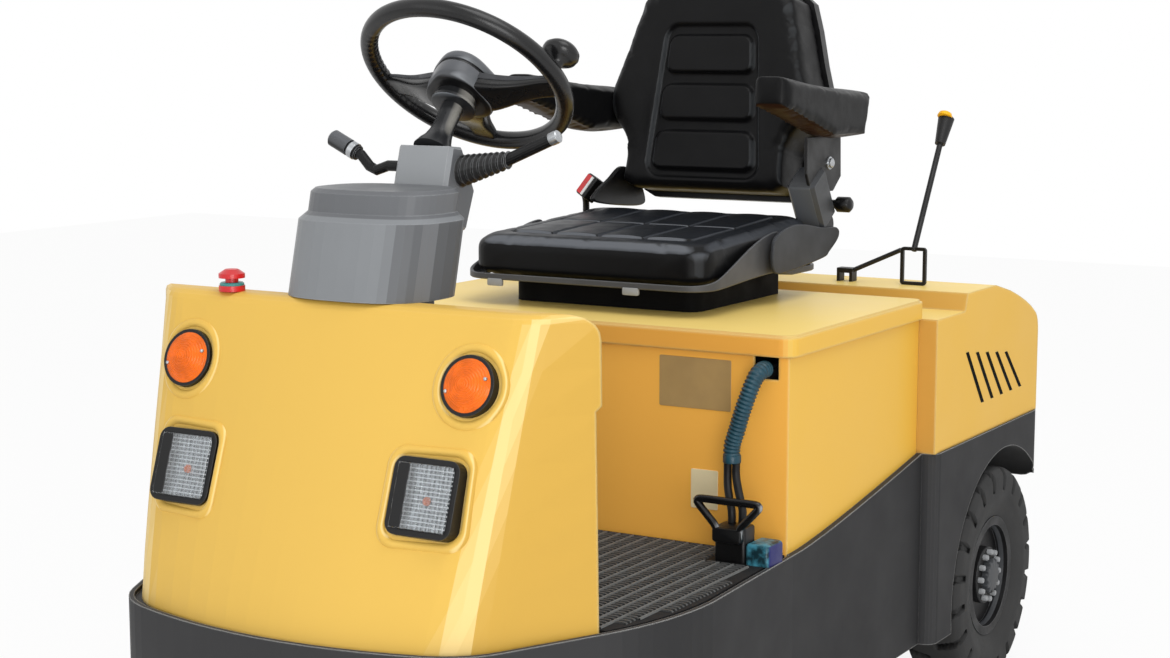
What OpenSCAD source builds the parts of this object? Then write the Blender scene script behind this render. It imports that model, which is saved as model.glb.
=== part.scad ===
// Seated electric tow tractor for airport baggage trains, in millimetres.
// The nose faces minus Y, the vehicle's left is plus X, Z is up and the ground is at zero.

/* [Overall] */
// Length from the bumper's nose to the tip of the tow hitch
overall_length = 2160; // [2120:10:2240]
// Width of the cowl's foot and the floor, inside the skirt
body_width = 940; // [920:2:970]
// Height of the skirt's lower edge above the ground
ground_clearance = 165; // [140:1:190]
// Height of the floor plate's top
floor_z = 463; // [455:1:480]
// Distance from the bumper's nose to the front axle
front_end_length = 410; // [400:1:425]
// Distance from the rear axle to the rear face of the skirt
rear_end_length = 270; // [260:1:285]
// How far the tow hitch stands behind the rear skirt
hitch_length = 100; // [90:1:130]

/* [Skirt] */
// Wall of the dark skirt and bumper
skirt_wall = 8; // [5:0.5:10]
// How far the skirt stands outside the cowl's foot
bumper_lip = 20; // [14:1:26]
// How far the side skirt draws in from the footwell to the battery box
side_tuck = 20; // [12:1:24]
// Clearance of the front wheel opening round the tyre
front_arch_gap = 35; // [30:1:45]
// Clearance of the rear wheel arch round the tyre
rear_arch_gap = 62; // [50:1:68]
// Height of the dark band over the rear wheel arch
skirt_band_h = 51; // [40:1:60]

/* [Cowl] */
// Height of the cowl's top
cowl_top_z = 951; // [920:1:980]
// Length of the cowl's foot from its nose to its rear edge
cowl_length = 270; // [255:1:290]
// Half width of the cowl's front at the foot
cowl_foot_x = 315; // [300:1:325]
// Half width of the cowl's front at the top
cowl_top_x = 345; // [335:1:355]
// How far the front leans back from its foot to its top
cowl_lean = 128; // [110:1:140]
// Bow of the front panel at the foot
cowl_bow = 62; // [50:1:70]
// Bow of the front panel at the top
cowl_top_bow = 5; // [3:1:12]
// Slant of the cowl's flank in plan, from the length of the vehicle
flank_angle = 26; // [22:1:30]
// Sheet of the cowl
cowl_wall = 5; // [3:0.5:8]
// Radius along the cowl's top edge
cowl_edge_r = 14; // [8:1:20]

/* [Lamps] */
// Half distance between the headlamps
headlamp_x = 228; // [220:1:236]
// Height of the headlamps
headlamp_z = 684; // [665:1:700]
// Width of a headlamp's square frame
headlamp_size = 116; // [100:1:124]
// Half distance between the indicators
indicator_x = 268; // [262:1:274]
// Height of the indicators
indicator_z = 845; // [830:1:855]
// Diameter of an indicator's lens
indicator_d = 92; // [80:1:100]

/* [Battery box] */
// Length of the footwell between the cowl and the battery box
footwell_length = 570; // [550:5:590]
// Length of the battery box
box_length = 585; // [570:5:600]
// Half width of the battery box
box_x = 458; // [450:1:460]
// Sheet of the battery box
box_wall = 5; // [3:0.5:8]
// Height of the box's rim, on which the lid rests
box_rim_z = 812; // [800:1:820]

/* [Lid] */
// Thickness of the lid with its rim
lid_h = 38; // [30:1:44]
// How far the lid overhangs the box at each side and in front
lid_overhang = 10; // [6:1:14]
// Corner radius of the lid
lid_corner_r = 26; // [15:1:40]

/* [Rear body] */
// Length of the rear skirt, from the battery box to its rear face
rear_body_length = 615; // [600:5:630]
// Half width of the rear body
tail_x = 496; // [490:1:498]
// Length of the low ledge behind the lid
ledge_length = 150; // [135:1:170]
// Height of the rear deck
deck_z = 847; // [840:1:856]
// Height of the tail's rear edge
tail_z = 766; // [750:1:780]
// Sheet of the rear body
tail_wall = 5; // [3:0.5:8]
// Number of louvre slots in each side
slot_count = 5; // [3:1:6]
// Pitch of the louvre slots
slot_pitch = 57; // [50:1:62]

/* [Wheels] */
// Radius of the rear tyres over their lugs
rear_tyre_r = 230; // [225:1:235]
// Width of the rear tyres
rear_tyre_w = 126; // [115:1:132]
// Half of the rear track
rear_track_x = 442; // [438:1:446]
// Radius of the front tyres over their lugs
front_tyre_r = 200; // [195:1:205]
// Width of the front tyres
front_tyre_w = 104; // [95:1:110]
// Distance of a kingpin from the middle
kingpin_x = 232; // [226:1:236]
// Distance of a front wheel's middle from its kingpin
kingpin_offset = 88; // [86:1:92]
// Number of lugs on each shoulder of a tyre
lug_count = 20; // [14:1:24]

/* [Steering] */
// Diameter of the steering wheel
steering_d = 372; // [350:1:390]
// Diameter of the steering wheel's rim
steering_rim_d = 28; // [22:1:32]
// Height of the steering wheel's centre
steering_z = 1297; // [1280:1:1320]
// Distance of the steering wheel's centre behind the cowl
steering_back = 286; // [276:1:300]
// Tilt of the steering column from the vertical
steering_tilt = 40; // [36:1:44]
// Width of the console on the cowl
console_w = 260; // [240:2:280]
// Length of the console
console_l = 194; // [180:1:210]
// Height of the console
console_h = 166; // [150:1:180]

/* [Seat] */
// Width of the seat cushion
seat_w = 520; // [480:2:540]
// Length of the seat cushion
seat_length = 495; // [460:5:505]
// Distance of the cushion's front behind the front of the battery box
seat_setback = 95; // [85:1:110]
// Height of the seat pan's lower face above the lid
seat_rail_h = 40; // [34:1:50]
// Thickness of the seat pan
seat_pan_h = 24; // [18:1:30]
// Thickness of the seat cushion
cushion_h = 52; // [48:1:70]
// Width of the backrest
back_w = 488; // [460:2:500]
// Height of the backrest
back_h = 450; // [420:5:470]
// Recline of the backrest
back_recline = 9; // [6:0.5:11]
// Length of an armrest
armrest_length = 390; // [360:5:400]
// Width of an armrest
armrest_w = 60; // [50:1:66]
// Height of an armrest from its seat to its front tip
armrest_h = 122; // [110:1:130]

/* [Battery lead] */
// Distance of the battery connector from the middle
connector_x = 398; // [390:1:402]
// Width of the connector's pull handle
connector_handle_w = 142; // [120:1:142]

/* [Hidden] */
$fn = 48;

// Cuts run this far past the faces they open
overrun = 2;
// Radial clearance of a shaft that turns in its bore
running_fit = 0.05;
// Gap between pieces that are seated but not joined
seat_gap = 0.3;
// Gap beside a turning wheel
wheel_gap = 8;

// What the overall length leaves over the named lengths goes to the footwell, the box and the rear body
spare_length = overall_length - bumper_lip - cowl_length - footwell_length - box_length
    - rear_body_length - hitch_length;
footwell_share = 0.4;
box_share = 0.46;
// Main stations along the vehicle
nose_y = -overall_length / 2;
cowl_nose_y = nose_y + bumper_lip;
cowl_rear_y = cowl_nose_y + cowl_length;
box_front_y = cowl_rear_y + footwell_length + spare_length * footwell_share;
shoulder_y = box_front_y + box_length + spare_length * box_share;
tail_y = overall_length / 2 - hitch_length;
rear_axle_y = tail_y - rear_end_length;
front_axle_y = nose_y + front_end_length;
front_track_x = kingpin_x + kingpin_offset;
half_w = body_width / 2;
skirt_x = half_w + bumper_lip;
side_x = skirt_x - side_tuck;

// Floor and frame
floor_plate_h = 8;
mat_h = 7;
mat_top_z = floor_z + mat_h;
floor_under_z = floor_z - floor_plate_h;
rail_x = 100;
rail_w = 60;
rail_h = 90;
axle_rise_h = 70;
rail_z = rear_tyre_r + axle_rise_h;
rail_top_z = rail_z + rail_h;
outrigger_w = 40;
tyre_room = 12;
swing_y = front_tyre_r + front_tyre_w / 2 + tyre_room;
nose_beam_y = front_axle_y - swing_y - outrigger_w;
floor_beam_y = front_axle_y + swing_y;
tail_beam_y = shoulder_y + overrun;

// Plan of the cowl's foot: a bowed nose, a rounded corner, a slanted flank and a long shoulder
cowl_foot_y = cowl_nose_y + cowl_bow;
flank_end_x = cowl_foot_x + (cowl_rear_y - cowl_foot_y) * tan(flank_angle);
shoulder_r = (half_w - flank_end_x) / (1 - cos(flank_angle));
shoulder_c = [half_w - shoulder_r, cowl_rear_y + shoulder_r * sin(flank_angle)];
corner_reach = 60;
corner_reach_top = 36;
bow_steps = 6;
corner_steps = 5;
shoulder_steps = 8;

function mix(a, b, t) = a + (b - a) * t;
// Outline with its corners eased by curves that start at distance r from each
function eased(list, r) = [for (i = [0:len(list) - 1])
    let (n = len(list), p = list[i], a = list[(i + n - 1) % n], b = list[(i + 1) % n])
    each [for (k = [0:corner_steps]) bezier(p + unit(a - p) * r, p, p + unit(b - p) * r, k / corner_steps)]];
function reversed(list) = [for (i = [len(list) - 1:-1:0]) list[i]];
function mirrored(list) = [for (p = list) [-p[0], p[1]]];
function unit(v) = v / norm(v);
function bezier(a, b, c, t) = (1 - t) * (1 - t) * a + 2 * t * (1 - t) * b + t * t * c;
function arc(c, r, a0, a1, steps) =
    [for (i = [0:steps]) let (a = mix(a0, a1, i / steps)) c + r * [cos(a), sin(a)]];

// Left half of a bowed front from its middle, round corner k, to the flank's end at f
function front_half(k, bow, f, reach) =
    let (x0 = k[0] - reach, y0 = k[1] - bow + bow * pow(x0 / k[0], 2), p2 = k + unit(f - k) * reach)
    concat(
        [for (i = [0:bow_steps - 1]) let (x = x0 * i / bow_steps) [x, k[1] - bow + bow * pow(x / k[0], 2)]],
        [for (i = [0:corner_steps]) bezier([x0, y0], k, p2, i / corner_steps)],
        [f]);

// Corner of the foot's plan, moved out by o along both of its sides
function plan_corner(o) =
    let (n1 = unit([2 * cowl_bow / cowl_foot_x, -1]), n2 = [cos(flank_angle), -sin(flank_angle)])
    [cowl_foot_x, cowl_foot_y] + (n1 + n2) * o / (1 + n1 * n2);

// Left half of the vehicle's plan, moved out by o, from the nose to y_end
function plan_half(o, y_end) =
    let (k = plan_corner(o), bow = k[1] - cowl_nose_y + o,
         bend = arc(shoulder_c, shoulder_r + o, -flank_angle, 0, shoulder_steps),
         run = (min(y_end, box_front_y) - shoulder_c[1]) / (box_front_y - shoulder_c[1]),
         x_end = half_w + o - side_tuck * run)
    concat(front_half(k, bow, bend[0], corner_reach), [for (i = [1:shoulder_steps]) bend[i]],
           y_end > box_front_y ? [[x_end, box_front_y]] : [], [[x_end, y_end]]);

function whole(half) = concat(reversed(mirrored([for (i = [1:len(half) - 1]) half[i]])), half);

// A wall that follows the plan, between two offsets
function plan_ring(o_out, o_in, y_end) =
    concat(whole(plan_half(o_out, y_end)), reversed(whole(plan_half(o_in, y_end))));

function rounded(w, l, r) =
    concat(arc([w / 2 - r, l / 2 - r], r, 0, 90, corner_steps), arc([r - w / 2, l / 2 - r], r, 90, 180, corner_steps),
           arc([r - w / 2, r - l / 2], r, 180, 270, corner_steps),
           arc([w / 2 - r, r - l / 2], r, 270, 360, corner_steps));

// Extrude a side view, given as points in Y and Z, across the vehicle from x0 to x1
module side_extrude(x0, x1) translate([x0, 0, 0]) rotate([90, 0, 90]) linear_extrude(x1 - x0) children();
module block(lo, hi) translate(lo) cube(hi - lo);
module across(x0, x1, r) translate([x0, 0, 0]) rotate([0, 90, 0]) cylinder(h = x1 - x0, r = r);

yellow = "#e8bc55";
dark_grey = "#444546";
black = "#222325";
mid_grey = "#8d9093";
steel = "#b4b8bc";

// Frame of two rails and three cross beams, cut to the inside of the skirt
module chassis_frame() color(black) intersection() {
    union() {
        for (s = [-1, 1])
            block([s * rail_x - rail_w / 2, nose_y, rail_z], [s * rail_x + rail_w / 2, tail_y, rail_top_z]);
        for (y = [nose_beam_y, floor_beam_y])
            block([-skirt_x, y, rail_z], [skirt_x, y + outrigger_w, floor_under_z]);
        block([-skirt_x, tail_beam_y, rail_z], [skirt_x, tail_beam_y + outrigger_w, floor_under_z]);
    }
    translate([0, 0, ground_clearance])
        linear_extrude(floor_z) polygon(whole(plan_half(bumper_lip - skirt_wall, tail_y - skirt_wall)));
}

module floor_pan() color(dark_grey) translate([0, 0, floor_under_z])
    linear_extrude(floor_plate_h) polygon(whole(plan_half(bumper_lip - skirt_wall, box_front_y)));

mat_inset = 6;
// Rubber mat between the cowl and the battery box
module floor_mat() color(black) translate([0, 0, floor_z]) {
    linear_extrude(mat_h) intersection() {
        polygon(whole(plan_half(bumper_lip - skirt_wall - mat_inset, box_front_y - mat_inset)));
        translate([-skirt_x, cowl_rear_y + mat_inset]) square([2 * skirt_x, box_front_y - cowl_rear_y]);
    }
}

rise_edge = skirt_wall;
rise_start = 110;
rise_steps = 8;
front_arch_drop = 40;
// Upper edge of the skirt along the battery box, lowered by drop
function rise(drop) = [for (i = [0:rise_steps])
    bezier([box_front_y, mat_top_z], [box_front_y + rise_start, mat_top_z],
    [shoulder_y, skirt_rear_z], i / rise_steps) - [0, drop]];
// Dark wrap-around bumper and side skirts, rising along the battery box, with front wheel openings
module front_skirt() color(dark_grey) difference() {
    union() {
        translate([0, 0, ground_clearance]) linear_extrude(mat_top_z - ground_clearance)
            polygon(plan_ring(bumper_lip, bumper_lip - skirt_wall, shoulder_y));
        for (s = [-1, 1]) scale([s, 1, 1]) {
            side_extrude(side_x - skirt_wall, side_x) polygon(concat(rise(0),
                [[shoulder_y, mat_top_z - rise_edge], [box_front_y, mat_top_z - rise_edge]]));
            side_extrude(box_x, side_x) polygon(concat(rise(0), reversed(rise(rise_edge))));
        }
    }
    translate([0, front_axle_y, front_tyre_r - front_arch_drop]) for (s = [-1, 1])
        across(s > 0 ? front_track_x : -2 * skirt_x, s > 0 ? 2 * skirt_x : -front_track_x,
               front_tyre_r + front_arch_gap);
}

rear_corner_r = 40;
front_corner_r = 24;
skirt_proud = 4;
arch_back = 47;
arch_drop = 25;
arch_y = rear_axle_y + arch_back;
arch_z = rear_tyre_r - arch_drop;
rear_arch_r = rear_tyre_r + rear_arch_gap;
skirt_rear_z = arch_z + rear_arch_r + skirt_band_h;
rear_x = tail_x + skirt_proud;
house_wall = 6;
house_x = rear_track_x - rear_tyre_w / 2 - wheel_gap;
axle_hole_r = 75;
// Left half of the rear skirt's plan, from its front return round to the middle of the rear face
function tail_half(o) = concat(
    [[side_x - skirt_wall, shoulder_y + o]],
    arc([rear_x - front_corner_r, shoulder_y + front_corner_r], front_corner_r - o, -90, 0, corner_steps),
    arc([rear_x - rear_corner_r, tail_y - rear_corner_r], rear_corner_r - o, 0, 90, corner_steps));
function tail_plan(o) = concat(tail_half(o), reversed(mirrored(tail_half(o))));
// Dark rear skirt with rounded front corners, open wheel arches and the housings round the wheels
module rear_skirt() color(dark_grey) difference() {
    union() {
        translate([0, 0, ground_clearance]) linear_extrude(skirt_rear_z - ground_clearance)
            polygon(concat(tail_plan(0), reversed(tail_plan(skirt_wall))));
        for (s = [-1, 1]) scale([s, 1, 1]) intersection() {
            translate([0, arch_y, arch_z])
                across(house_x - house_wall, rear_x - skirt_wall, rear_arch_r + house_wall);
            block([0, shoulder_y, arch_z], [rear_x, tail_y - skirt_wall, skirt_rear_z]);
        }
    }
    for (s = [-1, 1]) scale([s, 1, 1]) {
        translate([0, arch_y, arch_z]) across(house_x, 2 * rear_x, rear_arch_r);
        translate([0, rear_axle_y, rear_tyre_r]) across(0, 2 * rear_x, axle_hole_r);
    }
}

cowl_layers = 7;
edge_steps = 3;
cowl_h = cowl_top_z - floor_z;
lean_share = 1.12;
flank_flare = 11;
flank_top_flare = 5;
// One outline of the cowl at share t of its height, drawn in by inset
function cowl_ring(t, inset, rear) =
    let (k = [mix(cowl_foot_x, cowl_top_x, t) - inset, cowl_foot_y + cowl_lean * pow(t, lean_share) + inset],
         f = [flank_end_x + mix(flank_flare, flank_top_flare, t) - inset, cowl_rear_y])
    concat(whole(front_half(k, mix(cowl_bow, cowl_top_bow, t), f, mix(corner_reach, corner_reach_top, t))),
           [f + [0, rear], [-f[0], f[1] + rear]]);
// Closed skin through a stack of like outlines, each with its own height
module loft(rings, heights) {
    n = len(rings[0]);
    m = len(rings);
    polyhedron(
        points = [for (j = [0:m - 1]) for (p = rings[j]) [p[0], p[1], heights[j]]],
        faces = concat(
            [[for (i = [0:n - 1]) i]],
            [for (j = [0:m - 2]) for (i = [0:n - 1]) let (k = (i + 1) % n)
                each [[j * n + i, (j + 1) * n + i, (j + 1) * n + k], [j * n + i, (j + 1) * n + k, j * n + k]]],
            [[for (i = [n - 1:-1:0]) (m - 1) * n + i]]));
}
// The cowl's body between its foot and its rounded top, inset for the hollow inside
module cowl_form(inset, rear, below) {
    top = cowl_top_z - inset;
    r = cowl_edge_r;
    straight = [for (i = [0:cowl_layers]) mix(0, 1 - r / cowl_h, i / cowl_layers)];
    edge = [for (i = [1:edge_steps]) i * 90 / edge_steps];
    loft(
        concat([for (t = straight) cowl_ring(t, inset, rear)],
               [for (a = edge) cowl_ring(1 - r * (1 - sin(a)) / cowl_h, inset + r * (1 - cos(a)), rear)]),
        concat([for (t = straight) t == 0 ? floor_z - below : floor_z + (top - floor_z - r) * t / (1 - r / cowl_h)],
               [for (a = edge) top - r + r * sin(a)]));
}
// Height share and slope of the front panel at a lamp
function front_share(z) = (z - floor_z) / cowl_h;
function front_y(x, z) =
    let (t = front_share(z), k = cowl_foot_y + cowl_lean * pow(t, lean_share), b = mix(cowl_bow, cowl_top_bow, t))
    k - b + b * pow(x / mix(cowl_foot_x, cowl_top_x, t), 2);
lamp_tilt = atan((front_y(headlamp_x, indicator_z) - front_y(headlamp_x, headlamp_z)) / (indicator_z - headlamp_z));
lamp_pocket = 26;
lamp_clear = 0.5;
module at_lamp(x, z) translate([x, front_y(x, z), z]) rotate([90 - lamp_tilt, 0, 0]) children();

flank_corner_r = 40;
flank_step = 8;
flank_step_z = 812;
// Yellow front cowl, hollow and open to the rear, with openings for the lamps and a stepped, rounded rear edge
module cowl() color(yellow) difference() {
    cowl_form(0, 0, 0);
    cowl_form(cowl_wall, overrun, overrun);
    side_extrude(-skirt_x, skirt_x) polygon(concat(
        [[cowl_rear_y + overrun, floor_z - overrun], [cowl_rear_y - flank_step, floor_z - overrun],
         [cowl_rear_y - flank_step, flank_step_z - flank_step], [cowl_rear_y, flank_step_z]],
        arc([cowl_rear_y - flank_corner_r, cowl_top_z - flank_corner_r], flank_corner_r, 0, 90, corner_steps),
        [[cowl_rear_y - flank_corner_r, cowl_top_z + overrun], [cowl_rear_y + overrun, cowl_top_z + overrun]]));
    for (s = [-1, 1]) {
        at_lamp(s * headlamp_x, headlamp_z) translate([0, 0, -2 * lamp_pocket])
            linear_extrude(4 * lamp_pocket)
                polygon(rounded(headlamp_size + 2 * lamp_clear, headlamp_size + 2 * lamp_clear, lamp_corner_r));
        at_lamp(s * indicator_x, indicator_z) translate([0, 0, -2 * lamp_pocket])
            cylinder(h = 4 * lamp_pocket, d = indicator_d + 2 * lamp_clear);
    }
}

dash_setback = 30;
dash_wall = 6;
// Panel that closes the cowl's rear, standing on the floor
module dash_panel() color(dark_grey) intersection() {
    cowl_form(cowl_wall + seat_gap, 0, 0);
    block([-skirt_x, cowl_rear_y - dash_setback - dash_wall, floor_z],
          [skirt_x, cowl_rear_y - dash_setback, cowl_top_z]);
}

lamp_corner_r = 18;
lamp_rim = 9;
lamp_proud = 12;
lens_depth = 10;
lens_proud = 4;
// Square black headlamp frames let into the front panel
module headlamp_frames() color(black) for (s = [-1, 1]) at_lamp(s * headlamp_x, headlamp_z)
    translate([0, 0, -lamp_pocket]) difference() {
        linear_extrude(lamp_pocket + lamp_proud) polygon(rounded(headlamp_size, headlamp_size, lamp_corner_r));
        translate([0, 0, lamp_pocket + lamp_proud - lens_depth]) linear_extrude(lens_depth + overrun)
            polygon(rounded(headlamp_size - 2 * lamp_rim, headlamp_size - 2 * lamp_rim, lamp_rim));
    }

lens_ribs = 9;
lens_size = headlamp_size - 2 * lamp_rim - 2 * seat_gap;
// Ribbed clear lenses seated in the frames
module headlamp_lenses() color("#e6ebee") for (s = [-1, 1]) at_lamp(s * headlamp_x, headlamp_z)
    translate([0, 0, lamp_proud - lens_depth]) difference() {
        linear_extrude(lens_depth + lens_proud) polygon(rounded(lens_size, lens_size, lamp_rim));
        for (i = [1:lens_ribs])
            translate([(i / (lens_ribs + 1) - 1 / 2) * lens_size, -lens_size, lens_depth + lens_proud])
            rotate([-90, 0, 0]) cylinder(h = 2 * lens_size, d = lens_proud);
    }

ring_w = 5;
ring_proud = 9;
lens_dome = 14;
// Black rings of the front indicators
module indicator_rings() color(black) for (s = [-1, 1]) at_lamp(s * indicator_x, indicator_z)
    translate([0, 0, -lamp_pocket]) difference() {
        cylinder(h = lamp_pocket + ring_proud, d = indicator_d);
        translate([0, 0, lamp_pocket]) cylinder(h = ring_proud + overrun, d = indicator_d - 2 * ring_w);
    }

lens_r = indicator_d / 2 - ring_w - seat_gap;
dome_r = (lens_r * lens_r + lens_dome * lens_dome) / (2 * lens_dome);
// Domed amber lenses of the front indicators
module indicator_lenses() color("#f0842c") for (s = [-1, 1]) at_lamp(s * indicator_x, indicator_z) intersection() {
    cylinder(h = 2 * lens_dome, r = lens_r);
    translate([0, 0, ring_proud + lens_dome - dome_r]) sphere(r = dome_r, $fn = 64);
}

stop_x = -222;
stop_setback = 66;
stop_y = cowl_rear_y - stop_setback;
stop_r = 21;
stop_collar_h = 9;
stop_stem_h = 12;
stop_cap_h = 14;
// Red mushroom stop button on a collar
module stop_button() translate([stop_x, stop_y, cowl_top_z]) {
    color("#3c8a86") cylinder(h = stop_collar_h, r = stop_r);
    color("#c8202c") translate([0, 0, stop_collar_h]) rotate_extrude() polygon([
        [0, 0], [stop_r / 2, 0], [stop_r / 2, stop_stem_h], [stop_r, stop_stem_h],
        [stop_r, stop_stem_h + stop_cap_h / 2], [stop_r / 2, stop_stem_h + stop_cap_h],
        [0, stop_stem_h + stop_cap_h]]);
}

console_setback = 5;
console_y = cowl_rear_y + console_setback;
console_slope = 0.25;
console_lip_h = 42;
console_groove = 6;
console_step_h = console_h - console_lip_h - console_groove;
pedestal_w = 150;
pedestal_l = 70;
oval_steps = 40;
oval_share = 0.7;
// Superellipse, fuller than an ellipse, of the given width and length
function oval(w, l) = [for (i = [0:oval_steps - 1]) let (a = 360 * i / oval_steps, c = cos(a), s = sin(a))
    [w / 2 * sign(c) * pow(abs(c), oval_share), l / 2 * sign(s) * pow(abs(s), oval_share)]];
// Grey console pod leaning back on the cowl, with a drawn-in upper ring and a pedestal down to the floor
module console() color(mid_grey) {
    h1 = console_h - console_lip_h;
    tiers = [[0, 0], [console_step_h, 0], [h1, console_groove], [h1 + console_groove, 2 * console_groove],
             [console_h - console_groove, 2 * console_groove], [console_h, 3 * console_groove]];
    translate([0, console_y, cowl_top_z])
        loft([for (t = tiers) [for (q = oval(console_w - 2 * t[1], console_l - 2 * t[1]))
                 q + [0, t[0] * console_slope]]],
             [for (t = tiers) t[0]]);
    block([-pedestal_w / 2, cowl_rear_y + mat_inset, mat_top_z],
          [pedestal_w / 2, cowl_rear_y + pedestal_l, cowl_top_z]);
}

steering_y = cowl_rear_y + steering_back;
column_w = 106;
column_top = -150;
neck_r = 24;
neck_top = -66;
neck_foot = 20;
shaft_r = 14;
boot_r = 34;
boot_h = 26;
cover_low_h = 89;
cover_low_l = 73;
// Upper corners of the cover's side view, from the centre of the steering wheel
cover_points = [[-131, -119], [-98, -122], [-63, -194]];
// Rear wall of the console at height h above the cowl
function wall_y(h) = console_y + console_l / 2 + h * console_slope;
// Frame of the steering wheel: origin at its centre, Z along the column
module at_steering() translate([0, steering_y, steering_z]) rotate([-steering_tilt, 0, 0]) children();
// Column cover behind the console, with a boot and a neck tube that carries the shaft
module steering_column() color(mid_grey) difference() {
    union() {
        side_extrude(-column_w / 2, column_w / 2) polygon(concat(
            [for (q = cover_points) q + [steering_y, steering_z]],
            [[wall_y(cover_low_h) + cover_low_l, cowl_top_z + cover_low_h],
             [wall_y(cover_low_h), cowl_top_z + cover_low_h],
             [wall_y(console_step_h), cowl_top_z + console_step_h],
             [wall_y(console_h - console_groove) - 2 * console_groove,
              cowl_top_z + console_h - console_groove]]));
        at_steering() {
            translate([0, 0, column_top]) cylinder(h = boot_h, r1 = boot_r, r2 = neck_r);
            translate([0, 0, column_top - neck_foot])
                cylinder(h = neck_top - column_top + neck_foot, r = neck_r);
        }
    }
    at_steering() translate([0, 0, column_top - overrun])
        cylinder(h = neck_top - column_top + 2 * overrun, r = shaft_r + running_fit);
}

stalk_setback = -101;
stalk_drop = -160;
stalk_sides = 16;
bellows_r = 27;
bellows_end_r = 15;
bellows_l = 88;
bellows_rise = 20;
bellows_folds = 8;
fold_depth = 5;
stalk_r = 10;
// Places along the rod, outwards and up from the foot of the bellows
stalk_path = [[84, 19], [181, 60]];
switch_r = 9;
// Places along the switch stalk, outwards and up from its foot
switch_path = [[0, 4], [42, 4], [66, -4], [80, 2], [97, 20], [145, 41]];
switch_knob_r = 13;
switch_knob_path = [[104, 23], [152, 44]];
// Stalks on both sides of the column: a bellows and rod on the left, a bent switch stalk on the right
module control_levers() color(black) translate([0, steering_y + stalk_setback, steering_z + stalk_drop]) {
    n = 2 * bellows_folds;
    translate([column_w / 2, 0, 0]) rotate([0, 90, 0]) {
        loft([for (i = [0:n]) let (r = mix(bellows_r, bellows_end_r, i / n) - (i % 2) * fold_depth)
                 [for (k = [0:stalk_sides - 1]) let (a = 360 * k / stalk_sides)
                     [r * cos(a) - bellows_rise * i / n, r * sin(a)]]],
             [for (i = [0:n]) bellows_l * i / n]);
        tube([for (q = stalk_path) [-q[1], 0, q[0]]], stalk_r, stalk_sides);
    }
    translate([-column_w / 2, 0, 0]) rotate([0, -90, 0]) {
        tube([for (q = switch_path) [q[1], 0, q[0]]], switch_r, stalk_sides);
        tube([for (q = switch_knob_path) [q[1], 0, q[0]]], switch_knob_r, stalk_sides);
    }
}

notch_x = 415;
notch_w = 46;
notch_h = 40;
// Yellow battery box, open at the top, with a notch for the battery lead
module battery_box() color(yellow) difference() {
    block([-box_x, box_front_y, rail_top_z], [box_x, shoulder_y - seat_gap, box_rim_z]);
    block([-box_x + box_wall, box_front_y + box_wall, rail_top_z + box_wall],
          [box_x - box_wall, shoulder_y - seat_gap - box_wall, box_rim_z + overrun]);
    block([notch_x - notch_w / 2, box_front_y - overrun, box_rim_z - notch_h],
          [notch_x + notch_w / 2, box_front_y + 2 * box_wall, box_rim_z + overrun]);
}

battery_side_gap = 52;
battery_end_gap = 30;
battery_top_gap = 30;
battery_ridge = 6;
battery_cells = 6;
// Traction battery in its steel case, with rows of cells on top
module battery() color(dark_grey) {
    lo = [-box_x + battery_side_gap, box_front_y + battery_end_gap, rail_top_z + box_wall];
    hi = [box_x - battery_side_gap, shoulder_y - battery_end_gap, box_rim_z - battery_top_gap];
    block(lo, hi);
    cell = (hi[0] - lo[0]) / battery_cells;
    for (i = [0:battery_cells - 1])
        block([lo[0] + cell * i + battery_ridge, lo[1] + battery_ridge, hi[2]],
              [lo[0] + cell * (i + 1) - battery_ridge, hi[1] - battery_ridge, hi[2] + battery_ridge]);
}

riser_run = 13;
deck_length = 160;
tail_setback = 20;
tail_bend_run = 100;
tail_bend_rise = 24;
tail_bend_y = tail_y - tail_bend_run;
tail_bend_z = tail_z + tail_bend_rise;
tail_corner = 24;
riser_y = shoulder_y + ledge_length;
deck_end_y = riser_y + riser_run + deck_length;
tail_rear_y = tail_y - tail_setback;
// Side view of the rear body: ledge, riser, deck, sloping tail and upright rear face, drawn in by o
function tail_side(o) = concat(
    [[shoulder_y + o, skirt_rear_z], [shoulder_y + o, box_rim_z - o], [riser_y + o, box_rim_z - o],
     [riser_y + riser_run + o, deck_z - o], [deck_end_y, deck_z - o]],
    [for (i = [1:corner_steps]) bezier([deck_end_y + tail_corner, deck_z - o - tail_corner / 8],
        [tail_bend_y, tail_bend_z + tail_corner / 2 - o], [tail_rear_y - tail_corner, tail_z - o], i / corner_steps)],
    [for (i = [1:corner_steps])
        bezier([tail_rear_y - tail_corner, tail_z - o], [tail_rear_y - o, tail_z - tail_corner / 2 - o],
        [tail_rear_y - o, tail_z - 2 * tail_corner], i / corner_steps)],
    [[tail_rear_y - o, skirt_rear_z]]);

slot_inset = 159;
slot_depth = 119;
slot_rise = 65;
slot_first_y = shoulder_y + slot_inset;
slot_top_z = deck_z - slot_depth;
slot_bottom_z = skirt_rear_z + slot_rise;
slot_lean = 95;
slot_drop = 7;
slot_w = 10;
hinge_x = 300;
hinge_r = 9;
hinge_pin_r = 5;
knuckle_l = 60;
knuckle_gap = 0.5;
post_l = 30;
lid_lap = 10;
lid_rear_y = shoulder_y + lid_lap;
hinge_y = lid_rear_y + hinge_r + 3 * seat_gap;
hinge_z = box_rim_z + lid_h / 2;
lid_top_z = box_rim_z + lid_h;
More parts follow.
